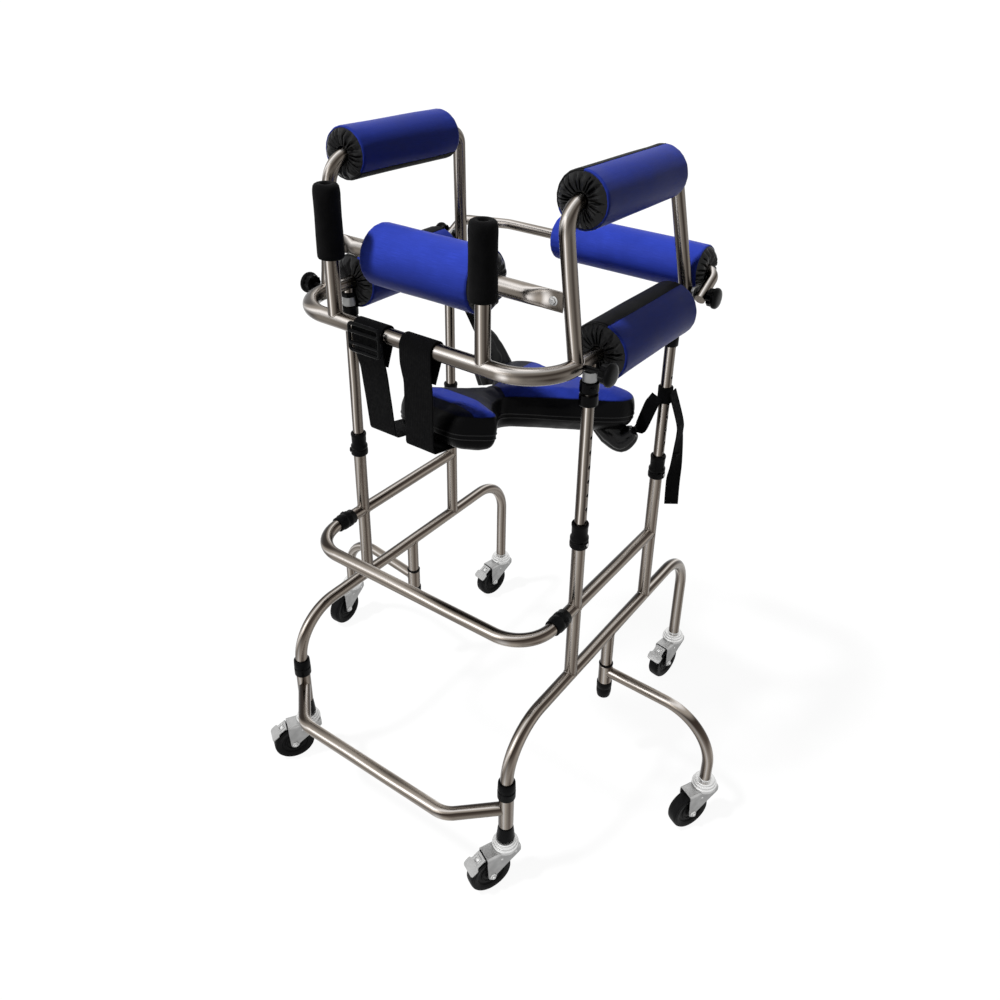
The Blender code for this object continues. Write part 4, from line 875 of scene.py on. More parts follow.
class WALKER_OT_collars(bpy.types.Operator):
    """Black collars on the uprights, the crossbar joints and the front legs"""

    bl_idname = "walker.collars"
    bl_label = "Collars"

    def execute(self, context):
        look = finishes()
        bore = 0.0112
        profile = [(bore, 0.0), (0.0140, 0.0), (0.0150, 0.0012), (0.0153, 0.006), (0.0150, 0.0105)]
        profile += [(0.0138, 0.0120), (0.0142, 0.0135), (0.0150, 0.0150), (0.0148, 0.0185), (0.0134, 0.0205)]
        profile += [(0.0128, 0.0225), (0.0131, 0.0370), (0.0137, 0.0395), (0.0137, 0.0425), (0.0130, 0.0438)]
        profile += [(0.0104, 0.0440), (0.0097, 0.0430)]
        for end, y in UPRIGHT_Y.items():
            for side, sign in SIDES.items():
                base = Vector((sign * FRAME_X, y, UPRIGHT_COLLAR_Z))
                collar = Shape()
                turned(collar, profile, base)
                outward = Vector((sign * 0.75, -0.66, 0.0)).normalized()
                snap_button(collar, base + outward * 0.0145 + UP * 0.0088, outward, 0.0046, 0.0030)
                snap_button(collar, base + Vector((sign * 0.0150, 0, 0.0075)), RIGHT * sign, 0.0030, 0.0018, 1)
                node = f"upright_collar_{end}_{side}"
                collar.build(f"Collar_{end}_{side}", [look.plastic, look.bright], "base", "black_plastic", [node])
        for side, sign in SIDES.items():
            collar = Shape()
            profile = [(bore, 0.0), (0.0142, 0.0), (0.0150, 0.001), (0.0150, 0.0145), (0.0138, 0.0160)]
            profile += [(0.0138, 0.0175), (0.0148, 0.0190), (0.0143, 0.0325), (0.0134, 0.0340), (bore, 0.0340)]
            turned(collar, profile, (sign * FRAME_X, FRONT_LEG_Y, LEG_COLLAR_Z))
            collar.build(f"Leg_collar_{side}", [look.plastic], "base", "black_plastic", [f"leg_collar_{side}"])
            collar = Shape()
            base = Vector((sign * FRAME_X, CROSSBAR_JOINT_Y - 0.019, UPPER_RAIL_Z))
            profile = [(bore, 0.0), (0.0130, 0.0), (0.0138, 0.0012), (0.0138, 0.0085), (0.0149, 0.0105)]
            profile += [(0.0150, 0.0165), (0.0140, 0.0180), (0.0140, 0.0200), (0.0150, 0.0215), (0.0149, 0.0280)]
            profile += [(0.0138, 0.0300), (0.0138, 0.0365), (0.0130, 0.0380), (bore, 0.0380)]
            turned(collar, profile, base, BACK)
            aim = Vector((sign * 0.85, 0.0, 0.5)).normalized()
            snap_button(collar, base + BACK * 0.0245 + aim * 0.0145, aim, 0.0042, 0.0026)
            node = f"crossbar_collar_{side}"
            collar.build(f"Crossbar_collar_{side}", [look.plastic], "base", "black_plastic", [node])
        return {"FINISHED"}


class WALKER_OT_outriggers(bpy.types.Operator):
    """Swinging outriggers on the stubs, with rubber feet below and black rings above"""

    bl_idname = "walker.outriggers"
    bl_label = "Outriggers"

    def execute(self, context):
        sizes = context.scene.walker_sizes
        look = finishes()
        radius = sizes.outrigger / 2
        out = sizes.sleeve / 2
        sleeve = sleeve_profile(sizes.tube / 2 + 0.0002, out, 0.0395, 0.0006)
        for side, sign in SIDES.items():
            pivot = Vector((sign * FRAME_X, OUTRIGGER_Y, 0.0))
            tip = Vector(JOINTS[f"caster_outrigger_{side}_swivel"]["pos_m"]) - ORIGIN
            tip.z = 0.0
            corners = [pivot + UP * OUTRIGGER_ARM_Z, tip + UP * OUTRIGGER_ARM_Z, tip + UP * LEG_END_Z]
            arm = Shape()
            sweep(arm, bent(corners, [OUTRIGGER_BEND], 24), radius, first_side=UP)
            turned(arm, sleeve, pivot + UP * OUTRIGGER_SLEEVE_Z)
            weld(arm, pivot + UP * OUTRIGGER_ARM_Z, (tip - pivot).normalized(), radius, UP, out, sizes.weld)
            arm.build(f"Outrigger_{side}", [look.steel_base], f"outrigger_{side}", "steel", [f"outrigger_arm_{side}"])
            foot = Shape()
            profile = [(0.0, 0.0), (0.0105, 0.0), (0.0122, 0.0010), (0.0138, 0.0100), (0.0139, 0.0180)]
            profile += [(0.0132, 0.0195), (0.0132, 0.0210), (0.0141, 0.0225), (0.0142, 0.0330), (0.0134, 0.0342)]
            turned(foot, profile + [(0.0112, 0.0342)], pivot + UP * OUTRIGGER_FOOT_Z)
            foot.build(f"Outrigger_foot_{side}", [look.rubber], "base", "rubber", [f"outrigger_foot_{side}"])
            ring = Shape()
            profile = [(0.0109, 0.0), (0.0128, 0.0), (0.0132, 0.0006), (0.0132, 0.0024), (0.0126, 0.0030)]
            turned(ring, profile + [(0.0109, 0.0030)], pivot + UP * OUTRIGGER_RING_Z)
            ring.build(f"Outrigger_ring_{side}", [look.plastic], "base", "black_plastic")
        return {"FINISHED"}


# ------- casters

WHEEL_RADIUS = 0.0375
LEG_BUSH_Z = 0.1004

def fork_shape():
    """Pressed fork with its bearing cup, nut and axle, round the swivel axis; the wheel trails forward."""
    inside, plate = 0.0135, 0.0022
    outside = inside + plate
    crown, trail, wheel = 0.080, 0.031, WHEEL_RADIUS
    front, back = -trail - 0.010, 0.0217
    shape = Shape()
    bend = 0.0042
    rings = []
    for y in (front, back):
        outer, inner = [], []
        for ring, grow, turn in ((outer, plate, bend), (inner, 0.0, bend - plate)):
            edge, top = inside + grow, crown + grow
            ring.append(Vector((-edge, y, crown - 0.010)))
            for middle, first in ((-edge + turn, math.pi), (edge - turn, math.pi / 2)):
                for k in range(7):
                    angle = first - math.pi / 2 * k / 6
                    ring.append(Vector((middle + turn * math.cos(angle), y, top - turn + turn * math.sin(angle))))
            ring.append(Vector((edge, y, crown - 0.010)))
        rings.append(outer + inner[::-1])
    shape.rings(rings, caps=(True, True))
    outline = [(back, crown - 0.003), (front, crown - 0.003), (front, crown - 0.012)]
    for degrees in range(180, 361, 20):
        angle = math.radians(degrees)
        outline.append((0.0080 * math.cos(angle) - trail, wheel + 0.0080 * math.sin(angle)))
    outline += [(back - 0.019, crown - 0.024), (back - 0.004, crown - 0.014), (back, crown - 0.010)]
    for sign in (1.0, -1.0):
        start = inside + 0.0001
        sheet_metal(shape, outline, plate - 0.0002, lambda u, v, w: Vector((sign * (start + w), u, v)))
        head = Vector((sign * outside, -trail, wheel))
        turned(shape, [(0.0062, -0.0010), (0.0062, 0.0018), (0.0052, 0.0024), (0.0, 0.0024)], head, RIGHT * sign, 6, 1)
        turned(shape, [(0.0034, 0.0), (0.0034, 0.0040), (0.0026, 0.0048), (0.0, 0.0050)], head, RIGHT * sign, 20, 1)
        rivet = [(0.0024, -0.0005), (0.0022, 0.0007), (0.0, 0.0012)]
        for y, z in ((-0.014, crown - 0.011), (0.012, crown - 0.0075)):
            turned(shape, rivet, (sign * outside, y, z), RIGHT * sign, 16, 1)
    profile = [(0.0, crown), (0.0222, crown), (0.0225, crown + 0.0014), (0.0225, 0.0868), (0.0217, 0.0879)]
    profile += [(0.0203, 0.0884), (0.0203, 0.0918), (0.0196, 0.0928), (0.0178, 0.0934), (0.0178, 0.0962)]
    profile += [(0.0170, 0.0975), (0.0120, 0.0979), (0.0, 0.0979)]
    turned(shape, profile, slot=1)
    turned(shape, [(0.0118, 0.0970), (0.0118, 0.0995), (0.0108, 0.1003), (0.0, 0.1003)], sides=6, slot=1)
    return shape


def wheel_shape():
    """Rubber wheel on its axle, which lies along X: ringed side faces and a small hub."""
    half = 0.012
    face = [(0.0042, 0.0), (0.0090, 0.0), (0.0102, 0.0008), (0.0110, 0.0030), (0.0150, 0.0038), (0.0162, 0.0024)]
    face += [(0.0178, 0.0024), (0.0190, 0.0040), (0.0236, 0.0040), (0.0250, 0.0022), (0.0300, 0.0006)]
    face += [(0.0322, 0.0006), (0.0330, 0.0012), (0.0352, 0.0010), (0.0368, 0.0030), (WHEEL_RADIUS - 0.0002, 0.0055)]
    profile = [(radius, depth - half) for radius, depth in face] + [(WHEEL_RADIUS, -0.0040)]
    mirrored = [(radius, -height) for radius, height in reversed(profile)]
    shape = Shape()
    turned(shape, profile + [(WHEEL_RADIUS, 0.0)] + mirrored, axis=RIGHT, sides=64, loop=True)
    return shape


def pedal_shape():
    """Toe pedal from its hinge line: a neck with a raised window and a wide pad, its end turned down."""
    slope = math.radians(35.0)
    along = Vector((0.0, -math.cos(slope), -math.sin(slope)))
    normal = Vector((0.0, -math.sin(slope), math.cos(slope)))
    thick, neck, pad = 0.0023, 0.0112, 0.0160
    stations = [(0.0012, neck), (0.0176, neck), (0.0190, neck + 0.0012), (0.0196, pad - 0.0026)]
    stations += [(0.0204, pad - 0.0010), (0.0216, pad), (0.0250, pad), (0.0290, pad), (0.0335, pad - 0.0004)]
    stations += [(0.0352, pad - 0.0020), (0.0360, pad - 0.0048)]
    shape = Shape()
    rings = []
    for reach, half in stations:
        drop = max(reach - 0.026, 0.0) ** 2 * 14.0
        point = along * reach - normal * drop
        corners = ((-half, 0), (half, 0), (half, thick), (-half, thick))
        rings.append([point + RIGHT * x + normal * w for x, w in corners])
    shape.rings(rings, caps=(True, True))
    turned(shape, [(0.0, -neck), (0.0022, -neck), (0.0022, neck), (0.0, neck)], along * 0.0034, RIGHT, 16)
    window = [(0.0062, -0.0058), (0.0162, -0.0058), (0.0162, 0.0058), (0.0062, 0.0058)]
    corners = [along * reach + RIGHT * x + normal * (thick + 0.0002) for reach, x in window]
    sweep(shape, corners, 0.0013, 12, 1, (False, False), normal, True)
    rivet = along * 0.0112 + normal * thick
    turned(shape, [(0.0034, -0.0004), (0.0030, 0.0005), (0.0014, 0.0008), (0.0, 0.0009)], rivet, normal, 24, 1)
    return shape


def bush_shape():
    """Black bush between a front leg's end and its caster."""
    profile = [(0.0100, 0.0), (0.0150, 0.0), (0.0155, 0.0010), (0.0148, 0.0080), (0.0132, 0.0240)]
    shape = Shape()
    turned(shape, profile + [(0.0126, 0.0270), (0.0111, 0.0276)])
    return shape


class WALKER_OT_casters(bpy.types.Operator):
    """Six swivel casters; the four on the rails carry toe brakes"""

    bl_idname = "walker.casters"
    bl_label = "Casters"

    def execute(self, context):
        look = finishes()
        nowhere = Vector()
        fork = fork_shape().mesh("Caster fork", [look.zinc, look.bright], 30.0, nowhere)
        wheel = wheel_shape().mesh("Caster wheel", [look.rubber], 30.0, nowhere)
        pedal = pedal_shape().mesh("Caster pedal", [look.zinc, look.bright], 30.0, nowhere)
        bush = bush_shape().mesh("Leg bush", [look.plastic], 30.0, nowhere)
        for name, joint in JOINTS.items():
            if not name.endswith("_swivel"):
                continue
            spot = name[len("caster_"):-len("_swivel")]
            spin = JOINTS[f"wheel_{spot}_spin"]
            axis = Vector(spin["axis"])
            turn = Matrix.Rotation(math.atan2(axis.y, axis.x), 4, "Z")
            floor = Vector(joint["pos_m"])
            floor.z = 0.0
            place = Matrix.Translation(floor) @ turn
            made = set_piece(fork, f"Fork_{spot}", f"caster_{spot}", [f"caster_fork_{spot}"], place)
            rounded(made, 0.0005)
            centre = Matrix.Translation(Vector(spin["pos_m"])) @ turn
            set_piece(wheel, f"Wheel_{spot}", f"wheel_{spot}", [f"caster_wheel_{spot}"], centre)
            if f"brake_pedal_{spot}_press" in JOINTS:
                hinge = Matrix.Translation(Vector(JOINTS[f"brake_pedal_{spot}_press"]["pos_m"])) @ turn
                node = f"caster_brake_pedal_{spot}"
                made = set_piece(pedal, f"Pedal_{spot}", f"brake_pedal_{spot}", [node], hinge)
                rounded(made, 0.0005)
            if spot.startswith("front"):
                place = Matrix.Translation(floor + UP * LEG_BUSH_Z)
                set_piece(bush, f"Leg_bush_{spot}", "base", (), place)
        return {"FINISHED"}


# ------- upper frame


def cut_holes(made, drill):
    """Cut the drill's shape out of a piece, and take the drill away."""
    change = made.modifiers.new("Hole", "BOOLEAN")
    change.operation = "DIFFERENCE"
    change.object = drill
    apply_modifiers(made)
    data = drill.data
    bpy.data.objects.remove(drill, do_unlink=True)
    bpy.data.meshes.remove(data)


class WALKER_OT_inner_legs(bpy.types.Operator):
    """Sliding legs with their rows of height holes"""

    bl_idname = "walker.inner_legs"
    bl_label = "Inner legs"

    def execute(self, context):
        sizes = context.scene.walker_sizes
        look = finishes()
        radius = sizes.leg / 2
        bore = radius - INNER_LEG_WALL
        profile = [(0.0, 0.0), (sizes.hole / 2, 0.0), (sizes.hole / 2, 0.012), (0.0, 0.012)]
        materials = [look.steel_upper, look.rubber]
        rows = 60
        low, high = INNER_LEG_LOW_Z, SIDE_TUBE_Z - 0.006
        for end, y in UPRIGHT_Y.items():
            for side, sign in SIDES.items():
                x = sign * FRAME_X
                leg = Shape()
                path = [(x, y, low + (high - low) * k / rows) for k in range(rows + 1)]
                sweep(leg, path, radius, 40, first_side=RIGHT)
                name = f"Inner_leg_{end}_{side}"
                made = linked(name, leg.mesh(name, materials))
                holes = Shape()
                for k in range(sizes.hole_count):
                    start = (x + sign * bore * 0.35, y, sizes.hole_first + k * sizes.hole_pitch)
                    turned(holes, profile, start, RIGHT * sign, 18, 1)
                cut_holes(made, linked("drill", holes.mesh("drill", materials)))
                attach(made, "upper_frame")
                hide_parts(f"inner_leg_{end}_{side}")
        return {"FINISHED"}


def arm_corners(sign):
    """Corners of an arm rest tube, from its front foot over the top to its rear foot."""
    return [
        Vector((sign * UPPER_X, -0.0427, SIDE_TUBE_Z)),
        Vector((sign * 0.2085, -0.0449, ARM_TOP_Z)),
        Vector((sign * 0.2105, 0.262, ARM_TOP_Z)),
        Vector((sign * 0.2380, 0.3010, 0.899)),
    ]


def arm_front_at(z, sign):
    """The point at height z on the front leg of an arm rest tube."""
    low, high = arm_corners(sign)[:2]
    return low.lerp(high, (z - low.z) / (high.z - low.z))


class WALKER_OT_upper_tubes(bpy.types.Operator):
    """Side tubes and the bent arm rest tubes"""

    bl_idname = "walker.upper_tubes"
    bl_label = "Side and arm rest tubes"

    def execute(self, context):
        sizes = context.scene.walker_sizes
        look = finishes()
        radius = sizes.tube / 2
        for side, sign in SIDES.items():
            x = sign * UPPER_X
            tube = Shape()
            sweep(tube, [(x, HANDLEBAR_END_Y, SIDE_TUBE_Z), (x, 0.296, SIDE_TUBE_Z)], radius, first_side=RIGHT)
            tube.build(f"Side_tube_{side}", [look.steel_upper], "upper_frame", "steel", [f"side_tube_{side}"])
            corners = arm_corners(sign)
            arm = Shape()
            path = bent(corners, ARM_BENDS, 20)
            path[0] = corners[0].lerp(corners[1], 0.03)
            sweep(arm, path, radius, 36, first_side=RIGHT)
            weld(arm, corners[0], UP, radius, BACK, 0.0125, sizes.weld)
            arm.build(f"Arm_rest_tube_{side}", [look.steel_upper], "upper_frame", "steel", [f"arm_rest_tube_{side}"])
        return {"FINISHED"}


class WALKER_OT_handlebar(bpy.types.Operator):
    """Bent handlebar with two posts, and the foam grips on them"""

    bl_idname = "walker.handlebar"
    bl_label = "Handlebar and grips"

    def execute(self, context):
        sizes = context.scene.walker_sizes
        look = finishes()
        y, z = HANDLEBAR_END_Y, SIDE_TUBE_Z
        bar = Shape()
        corners = [(-UPPER_X, y, z), (-UPPER_X, HANDLEBAR_Y, z), (UPPER_X, HANDLEBAR_Y, z), (UPPER_X, y, z)]
        sweep(bar, bent(corners, [HANDLEBAR_BEND] * 2, 24), sizes.handle / 2, 40, first_side=UP)
        radius = sizes.tube / 2
        for sign in SIDES.values():
            foot = Vector((sign * GRIP_POST_X, HANDLEBAR_Y, z))
            sweep(bar, [foot + UP * 0.004, foot + UP * GRIP_POST_RISE], radius, 36, first_side=RIGHT)
            weld(bar, foot, UP, radius, RIGHT, sizes.handle / 2, sizes.weld)
            ring = [(0.0125, -0.0012), (0.0129, -0.0008), (0.0129, 0.0010), (0.0112, 0.0016)]
            turned(bar, ring, (sign * UPPER_X, y - 0.0010, z), BACK, slot=1)
        bar.build("Handlebar", [look.steel_upper, look.rubber], "upper_frame", "steel", ["handlebar"])
        profile = [(0.0112, 0.0), (0.0168, 0.0), (0.0184, 0.0009), (0.0193, 0.0028), (0.0195, 0.0075)]
        profile += [(0.0194, 0.0350), (0.0190, 0.0610), (0.0192, 0.0830), (0.0195, 0.0925), (0.0192, 0.0985)]
        profile += [(0.0184, 0.1035), (0.0168, 0.1062), (0.0144, 0.1076), (0.0114, 0.1080), (0.0089, 0.1075)]
        profile += [(0.0075, 0.1065), (0.0067, 0.1050), (0.0063, 0.1036), (0.0045, 0.1032), (0.0, 0.1032)]

        def squeezed(angle, size, height):
            return size * (1.0 + 0.012 * math.sin(2 * angle + 20.0 * height))

        for side, sign in SIDES.items():
            grip = Shape()
            turned(grip, profile, (sign * GRIP_POST_X, HANDLEBAR_Y, GRIP_Z), UP, 48, swell=squeezed)
            grip.build(f"Grip_{side}", [look.foam], "upper_frame", "foam", [f"foam_grip_{side}"], 60.0)
        return {"FINISHED"}


# ------- padded rolls


def ridge(value, power):
    """Rounded ridges between sharp folds: 0 in a fold, 1 on a ridge."""
    return abs(math.sin(value / 2)) ** power


COVER_SET_BACK = 0.0012
ROLL_BORE = 0.0118


def roll(name, body, start, along, first, length, radius, bore, nodes, panel, seed, domes=(1.0, 1.0), cloth=None):
    """A padded roll: taut cover, gathered ends and edge piping.

    The roll lies level. Its dark panel lies between two angles round it, in degrees, counted from the direction
    first by way of up. domes is how far each end bulges.
    """
    rolls = bpy.context.scene.walker_rolls
    look = finishes()
    start, along, first = Vector(start), Vector(along), Vector(first)
    rim = rolls.rim
    around, rows = 168, 84
    fine, rows_in, beads = 288, 30, 120

    def spot(angle, size, height):
        return start + (first * math.cos(angle) + UP * math.sin(angle)) * size + along * height

    def cover_radius(angle, height):
        edge = min(height, length - height)
        size = radius - COVER_SET_BACK
        if edge < rim:
            size -= rim - math.sqrt(max(rim * rim - (rim - edge) ** 2, 0.0))
        pull = math.exp(-edge / 0.016)
        size += 0.00018 * pull * math.sin(19 * angle + 5.0 * rough((math.cos(angle), math.sin(angle), seed), 1.3))
        wave = rough((math.cos(angle) * 1.2, math.sin(angle) * 1.2, height * 9.0), 1.0, seed)
        size += 0.0011 * wave * min(edge / 0.03, 1.0)
        return size

    heights = [0.0, rim * 0.12, rim * 0.35, rim * 0.7, rim]
    heights += [rim + (length - 2 * rim) * k / rows for k in range(1, rows)]
    heights += [length - h for h in (rim, rim * 0.7, rim * 0.35, rim * 0.12, 0.0)]
    cover = Shape()
    rings = []
    angles = [2 * math.pi * k / around for k in range(around)]
    for height in heights:
        rings.append([spot(angle, cover_radius(angle, height), height) for angle in angles])

    def side_of(i, j):
        angle = (360.0 * (i + 0.5) / around - panel[0]) % 360.0
        return 1 if angle < (panel[1] - panel[0]) % 360.0 else 0

    def cloth_mark(i, j):
        return 2 * math.pi * radius * i / around, heights[min(j, len(heights) - 1)]

    cover.rings(rings, side_of, mark=cloth_mark)
    for degrees in panel:
        angle = math.radians(degrees)
        seam = [spot(angle, cover_radius(angle, height) + 0.0001, height) for height in heights[3:-3]]
        sweep(cover, seam, 0.0005, 8, 1)
    made = cover.build(f"{name}_cover", [cloth or look.cover, look.closure], body, "blue_cover", nodes, 60.0)

    ends = Shape()
    for side, (dome, way, at) in enumerate(zip(domes, (-1.0, 1.0), (0.0, length))):
        rings = []
        shift = seed * 3.0 + side * 1.9
        for j in range(rows_in + 1):
            t = j / rows_in
            ring = []
            for k in range(fine):
                angle = 2 * math.pi * k / fine
                outer = cover_radius(angle, 0.0)
                size = outer + (bore - outer) * t
                x, y = math.cos(angle), math.sin(angle)
                warp = 1.5 * rough((x, y, shift), 1.9) + 0.25 * rough((x, y, shift + t), 3.1)
                pleats = ridge(rolls.pleats * angle + 4.0 * warp + 0.5 * math.sin(2.0 * t + shift), 0.75)
                finer = ridge((rolls.pleats * 2 + 3) * angle + 5.0 * warp, 0.9)
                strength = 0.85 + 0.5 * rough((x * 2.0, y * 2.0, shift), 1.4)
                depth = rolls.pleat_depth * strength * min(t / 0.18, 1.0) * min((1.0 - t) / 0.15 + 0.15, 1.0)
                bulge = rolls.dome * dome * math.sin(math.pi * min(0.5, t * 1.1)) * (1.0 - 0.55 * max(t - 0.45, 0.0))
                height = bulge + depth * (pleats - 0.75) + 0.25 * depth * (finer - 0.5) * min(t * 2.0, 1.0)
                ring.append(spot(angle, size, at + way * max(height, -0.002)))
            rings.append(ring)
        ends.rings(rings, mark=lambda i, j: (0.25 * i / fine, 0.04 * j / rows_in))
    made = ends.build(f"{name}_ends", [look.nylon], body, "blue_cover", (), 70.0)

    def piping_side(i, j):
        return side_of(int(j * around / beads) % around, 0)

    piping = Shape()
    for at in (0.0006, length - 0.0006):
        path = []
        for k in range(beads):
            angle = 2 * math.pi * k / beads
            path.append(spot(angle, cover_radius(angle, 0.0) + COVER_SET_BACK, at))
        sweep(piping, path, rolls.piping, 10, piping_side, caps=(False, False), loop=True)
    piping.build(f"{name}_piping", [look.piping, look.nylon], body, "blue_cover", (), 60.0)


class WALKER_OT_arm_rolls(bpy.types.Operator):
    """Padded rolls of the arm rests"""

    bl_idname = "walker.arm_rolls"
    bl_label = "Arm rest rolls"

    def execute(self, context):
        radius = context.scene.walker_rolls.arm
        panels = {"right": (90.0, 203.0), "left": (200.0, 322.0)}
        runs = {"right": (-0.006, 0.224), "left": (-0.013, 0.213)}
        for side, sign in SIDES.items():
            front, rear = runs[side]
            # The arm rolls wear the darkened blue cover, a painted shade.
            roll(
                f"Arm_roll_{side}", "upper_frame", (sign * ARM_ROLL_X, front, ARM_TOP_Z), BACK, RIGHT, rear - front,
                radius, ROLL_BORE, [f"arm_rest_roll_{side}"], panels[side], sign + 2.0, cloth=finishes().painted_shade_cover,
            )
        return {"FINISHED"}


class WALKER_OT_side_rolls(bpy.types.Operator):
    """Padded rolls on the side tubes"""

    bl_idname = "walker.side_rolls"
    bl_label = "Side rolls"

    def execute(self, context):
        radius = context.scene.walker_rolls.side
        runs = {"right": (0.018, 0.244), "left": (0.015, 0.237)}
        for side, sign in SIDES.items():
            front, rear = runs[side]
            # The side rolls wear the darkened blue cover, a painted shade.
            roll(
                f"Side_roll_{side}", "upper_frame", (sign * UPPER_X, front, SIDE_TUBE_Z), BACK, RIGHT, rear - front,
                radius, ROLL_BORE, [f"side_roll_{side}"], (74.0, 200.0), sign + 5.0, cloth=finishes().painted_shade_cover,
            )
        return {"FINISHED"}


class WALKER_OT_front_roll(bpy.types.Operator):
    """The front roll and its bar, whose flat ends are bolted on"""

    bl_idname = "walker.front_roll"
    bl_label = "Front roll and bar"

    def execute(self, context):
        sizes = context.scene.walker_sizes
        look = finishes()
        radius = context.scene.walker_rolls.front
        roll(
            "Front_roll", "upper_frame", FRONT_ROLL + RIGHT * -0.113, RIGHT, BACK, 0.197,
            radius, 0.0148, ["front_roll"], (310.0, 350.0), 9.0, (1.0, 1.5),
        )
        bar = Shape()
        reach = arm_front_at(FRONT_ROLL.z + 0.015, 1.0).x - 0.0115
        round_size = sizes.roll_bar / 2
        stations = (1.0, 0.96, 0.90, 0.84, 0.78, 0.72)
        path, ovals = [], []
        for share in [-share for share in stations] + list(reversed(stations)):
            path.append(FRONT_ROLL + RIGHT * (reach * share))
            flat = clamped((abs(share) - 0.76) / 0.14)
            flat = flat * flat * (3 - 2 * flat)
            ovals.append(tuple(round_size + (size - round_size) * flat for size in (0.0150, 0.0021)))
        sweep(bar, path, ovals, 40, first_side=UP)
        for sign in SIDES.values():
            spot = Vector((sign * (reach - 0.014), FRONT_ROLL.y - 0.0018, FRONT_ROLL.z))
            turned(bar, [(0.0068, 0.0), (0.0068, 0.0012), (0.0060, 0.0016), (0.0, 0.0016)], spot, -BACK, 24, 1)
            turned(bar, [(0.0052, 0.0010), (0.0052, 0.0046), (0.0042, 0.0056), (0.0, 0.0056)], spot, -BACK, 6, 1)
            spot = spot + BACK * 0.0036
            turned(bar, [(0.0056, 0.0), (0.0056, 0.0048), (0.0030, 0.0052), (0.0, 0.0060)], spot, BACK, 6, 1)
        bar.build("Front_roll_bar", [look.steel, look.bright], "upper_frame", "steel", ["front_roll_bar"])
        return {"FINISHED"}


class WALKER_OT_back_roll(bpy.types.Operator):
    """The back roll on its bent bar, which swings on the rear knobs"""

    bl_idname = "walker.back_roll"
    bl_label = "Back roll and bar"

    def execute(self, context):
        sizes = context.scene.walker_sizes
        look = finishes()
        radius = context.scene.walker_rolls.back
        roll(
            "Back_roll", "back_bar", BACK_RUN + RIGHT * -0.041, RIGHT, BACK, 0.284,
            radius, 0.0102, ["back_roll"], (300.0, 345.0), 12.0, (1.0, 1.3),
        )
        end_x = BACK_BAR_END_X
        size = sizes.back_bar / 2
        past = (BACK_PIVOT - BACK_RUN).normalized() * (size + 0.001)
        corners = [
            RIGHT * -end_x + BACK_PIVOT + past,
            RIGHT * -end_x + BACK_PIVOT.lerp(BACK_RUN, 0.75),
            RIGHT * -0.160 + BACK_RUN,
            RIGHT * end_x + BACK_RUN,
            RIGHT * end_x + BACK_PIVOT + past,
        ]
        bar = Shape()
        sweep(bar, bent(corners, BACK_BAR_BENDS, 18), size, 36, first_side=UP)
        bar.build("Back_bar", [look.steel_upper], "back_bar", "steel", ["back_bar"])
        return {"FINISHED"}


# ------- knobs, seat and webbing


class WALKER_OT_knobs(bpy.types.Operator):
    """Ribbed knobs that clamp the upper frame's ends"""

    bl_idname = "walker.knobs"
    bl_label = "Knobs"

    def execute(self, context):
        look = finishes()
        spots = {"front": (FRONT_KNOB_Y, SIDE_TUBE_Z), "rear": (BACK_PIVOT.y, BACK_PIVOT.z)}

        profile = [(0.0, -0.030), (0.0038, -0.030), (0.0038, 0.0), (0.0075, 0.0), (0.0120, 0.0006)]
        profile += [(0.0146, 0.0016), (0.0150, 0.0030), (0.0152, 0.0088), (0.0150, 0.0096), (0.0165, 0.0104)]
        profile += [(0.0174, 0.0118), (0.0175, 0.0142), (0.0170, 0.0162), (0.0150, 0.0182), (0.0110, 0.0194)]
        profile += [(0.0060, 0.0200), (0.0, 0.0200)]

        def ribs(angle, size, height):
            return size * (1.0 - 0.085 * ridge(12 * angle, 0.7)) if height < 0.0095 else size

        for end, (y, z) in spots.items():
            for side, sign in SIDES.items():
                knob = Shape()
                turned(knob, profile, (sign * KNOB_X, y, z), RIGHT * sign, 144, 0, ribs)
                node = f"knob_{end}_{side}"
                knob.build(f"Knob_{end}_{side}", [look.gloss], node, "black_plastic", [node])
        return {"FINISHED"}


def seat_space(u, v, w):
    """Seat plane to place: u across, v backwards, w below the top."""
    return SEAT_MIDDLE + SEAT_TURN @ Vector((u, v, -w))


def to_seat(point):
    """Place to seat plane: the opposite of seat_space."""
    spot = SEAT_TURN.transposed() @ (point - SEAT_MIDDLE)
    return spot.x, spot.y, -spot.z


# Right half of the saddle's outline, then where its cloths change: along the seat and below its top
SEAT_HALF = (
    (0.000, -0.157), (0.062, -0.160), (0.085, -0.140), (0.103, -0.112), (0.098, -0.095), (0.081, -0.089),
    (0.048, -0.054), (0.031, -0.022), (0.035, -0.003), (0.061, 0.031), (0.116, 0.097), (0.148, 0.140),
    (0.152, 0.170), (0.142, 0.195), (0.115, 0.212), (0.070, 0.206), (0.000, 0.202),
)
SEAT_STRIP = (-0.130, -0.093)
SEAT_WINGS = -0.008
SEAT_TOP_EDGE = 0.0060
SEAT_VOXEL = 0.0040


def seat_outline(cuts):
    """The saddle's outline, rounded by cutting corners."""
    right = [Vector((u, v, 0.0)) for u, v in SEAT_HALF]
    ring = right[:-1] + [Vector((-p.x, p.y, 0.0)) for p in reversed(right[1:])]
    for _ in range(cuts):
        finer = []
        for i, point in enumerate(ring):
            after = ring[(i + 1) % len(ring)]
            finer += [point.lerp(after, 0.25), point.lerp(after, 0.75)]
        ring = finer
    return ring


def inset(ring, distance):
    """The ring moved inwards by the distance."""
    moved = []
    for i, point in enumerate(ring):
        along = (ring[(i + 1) % len(ring)] - ring[i - 1]).normalized()
        moved.append(point + Vector((-along.y, along.x, 0.0)) * distance)
    return moved


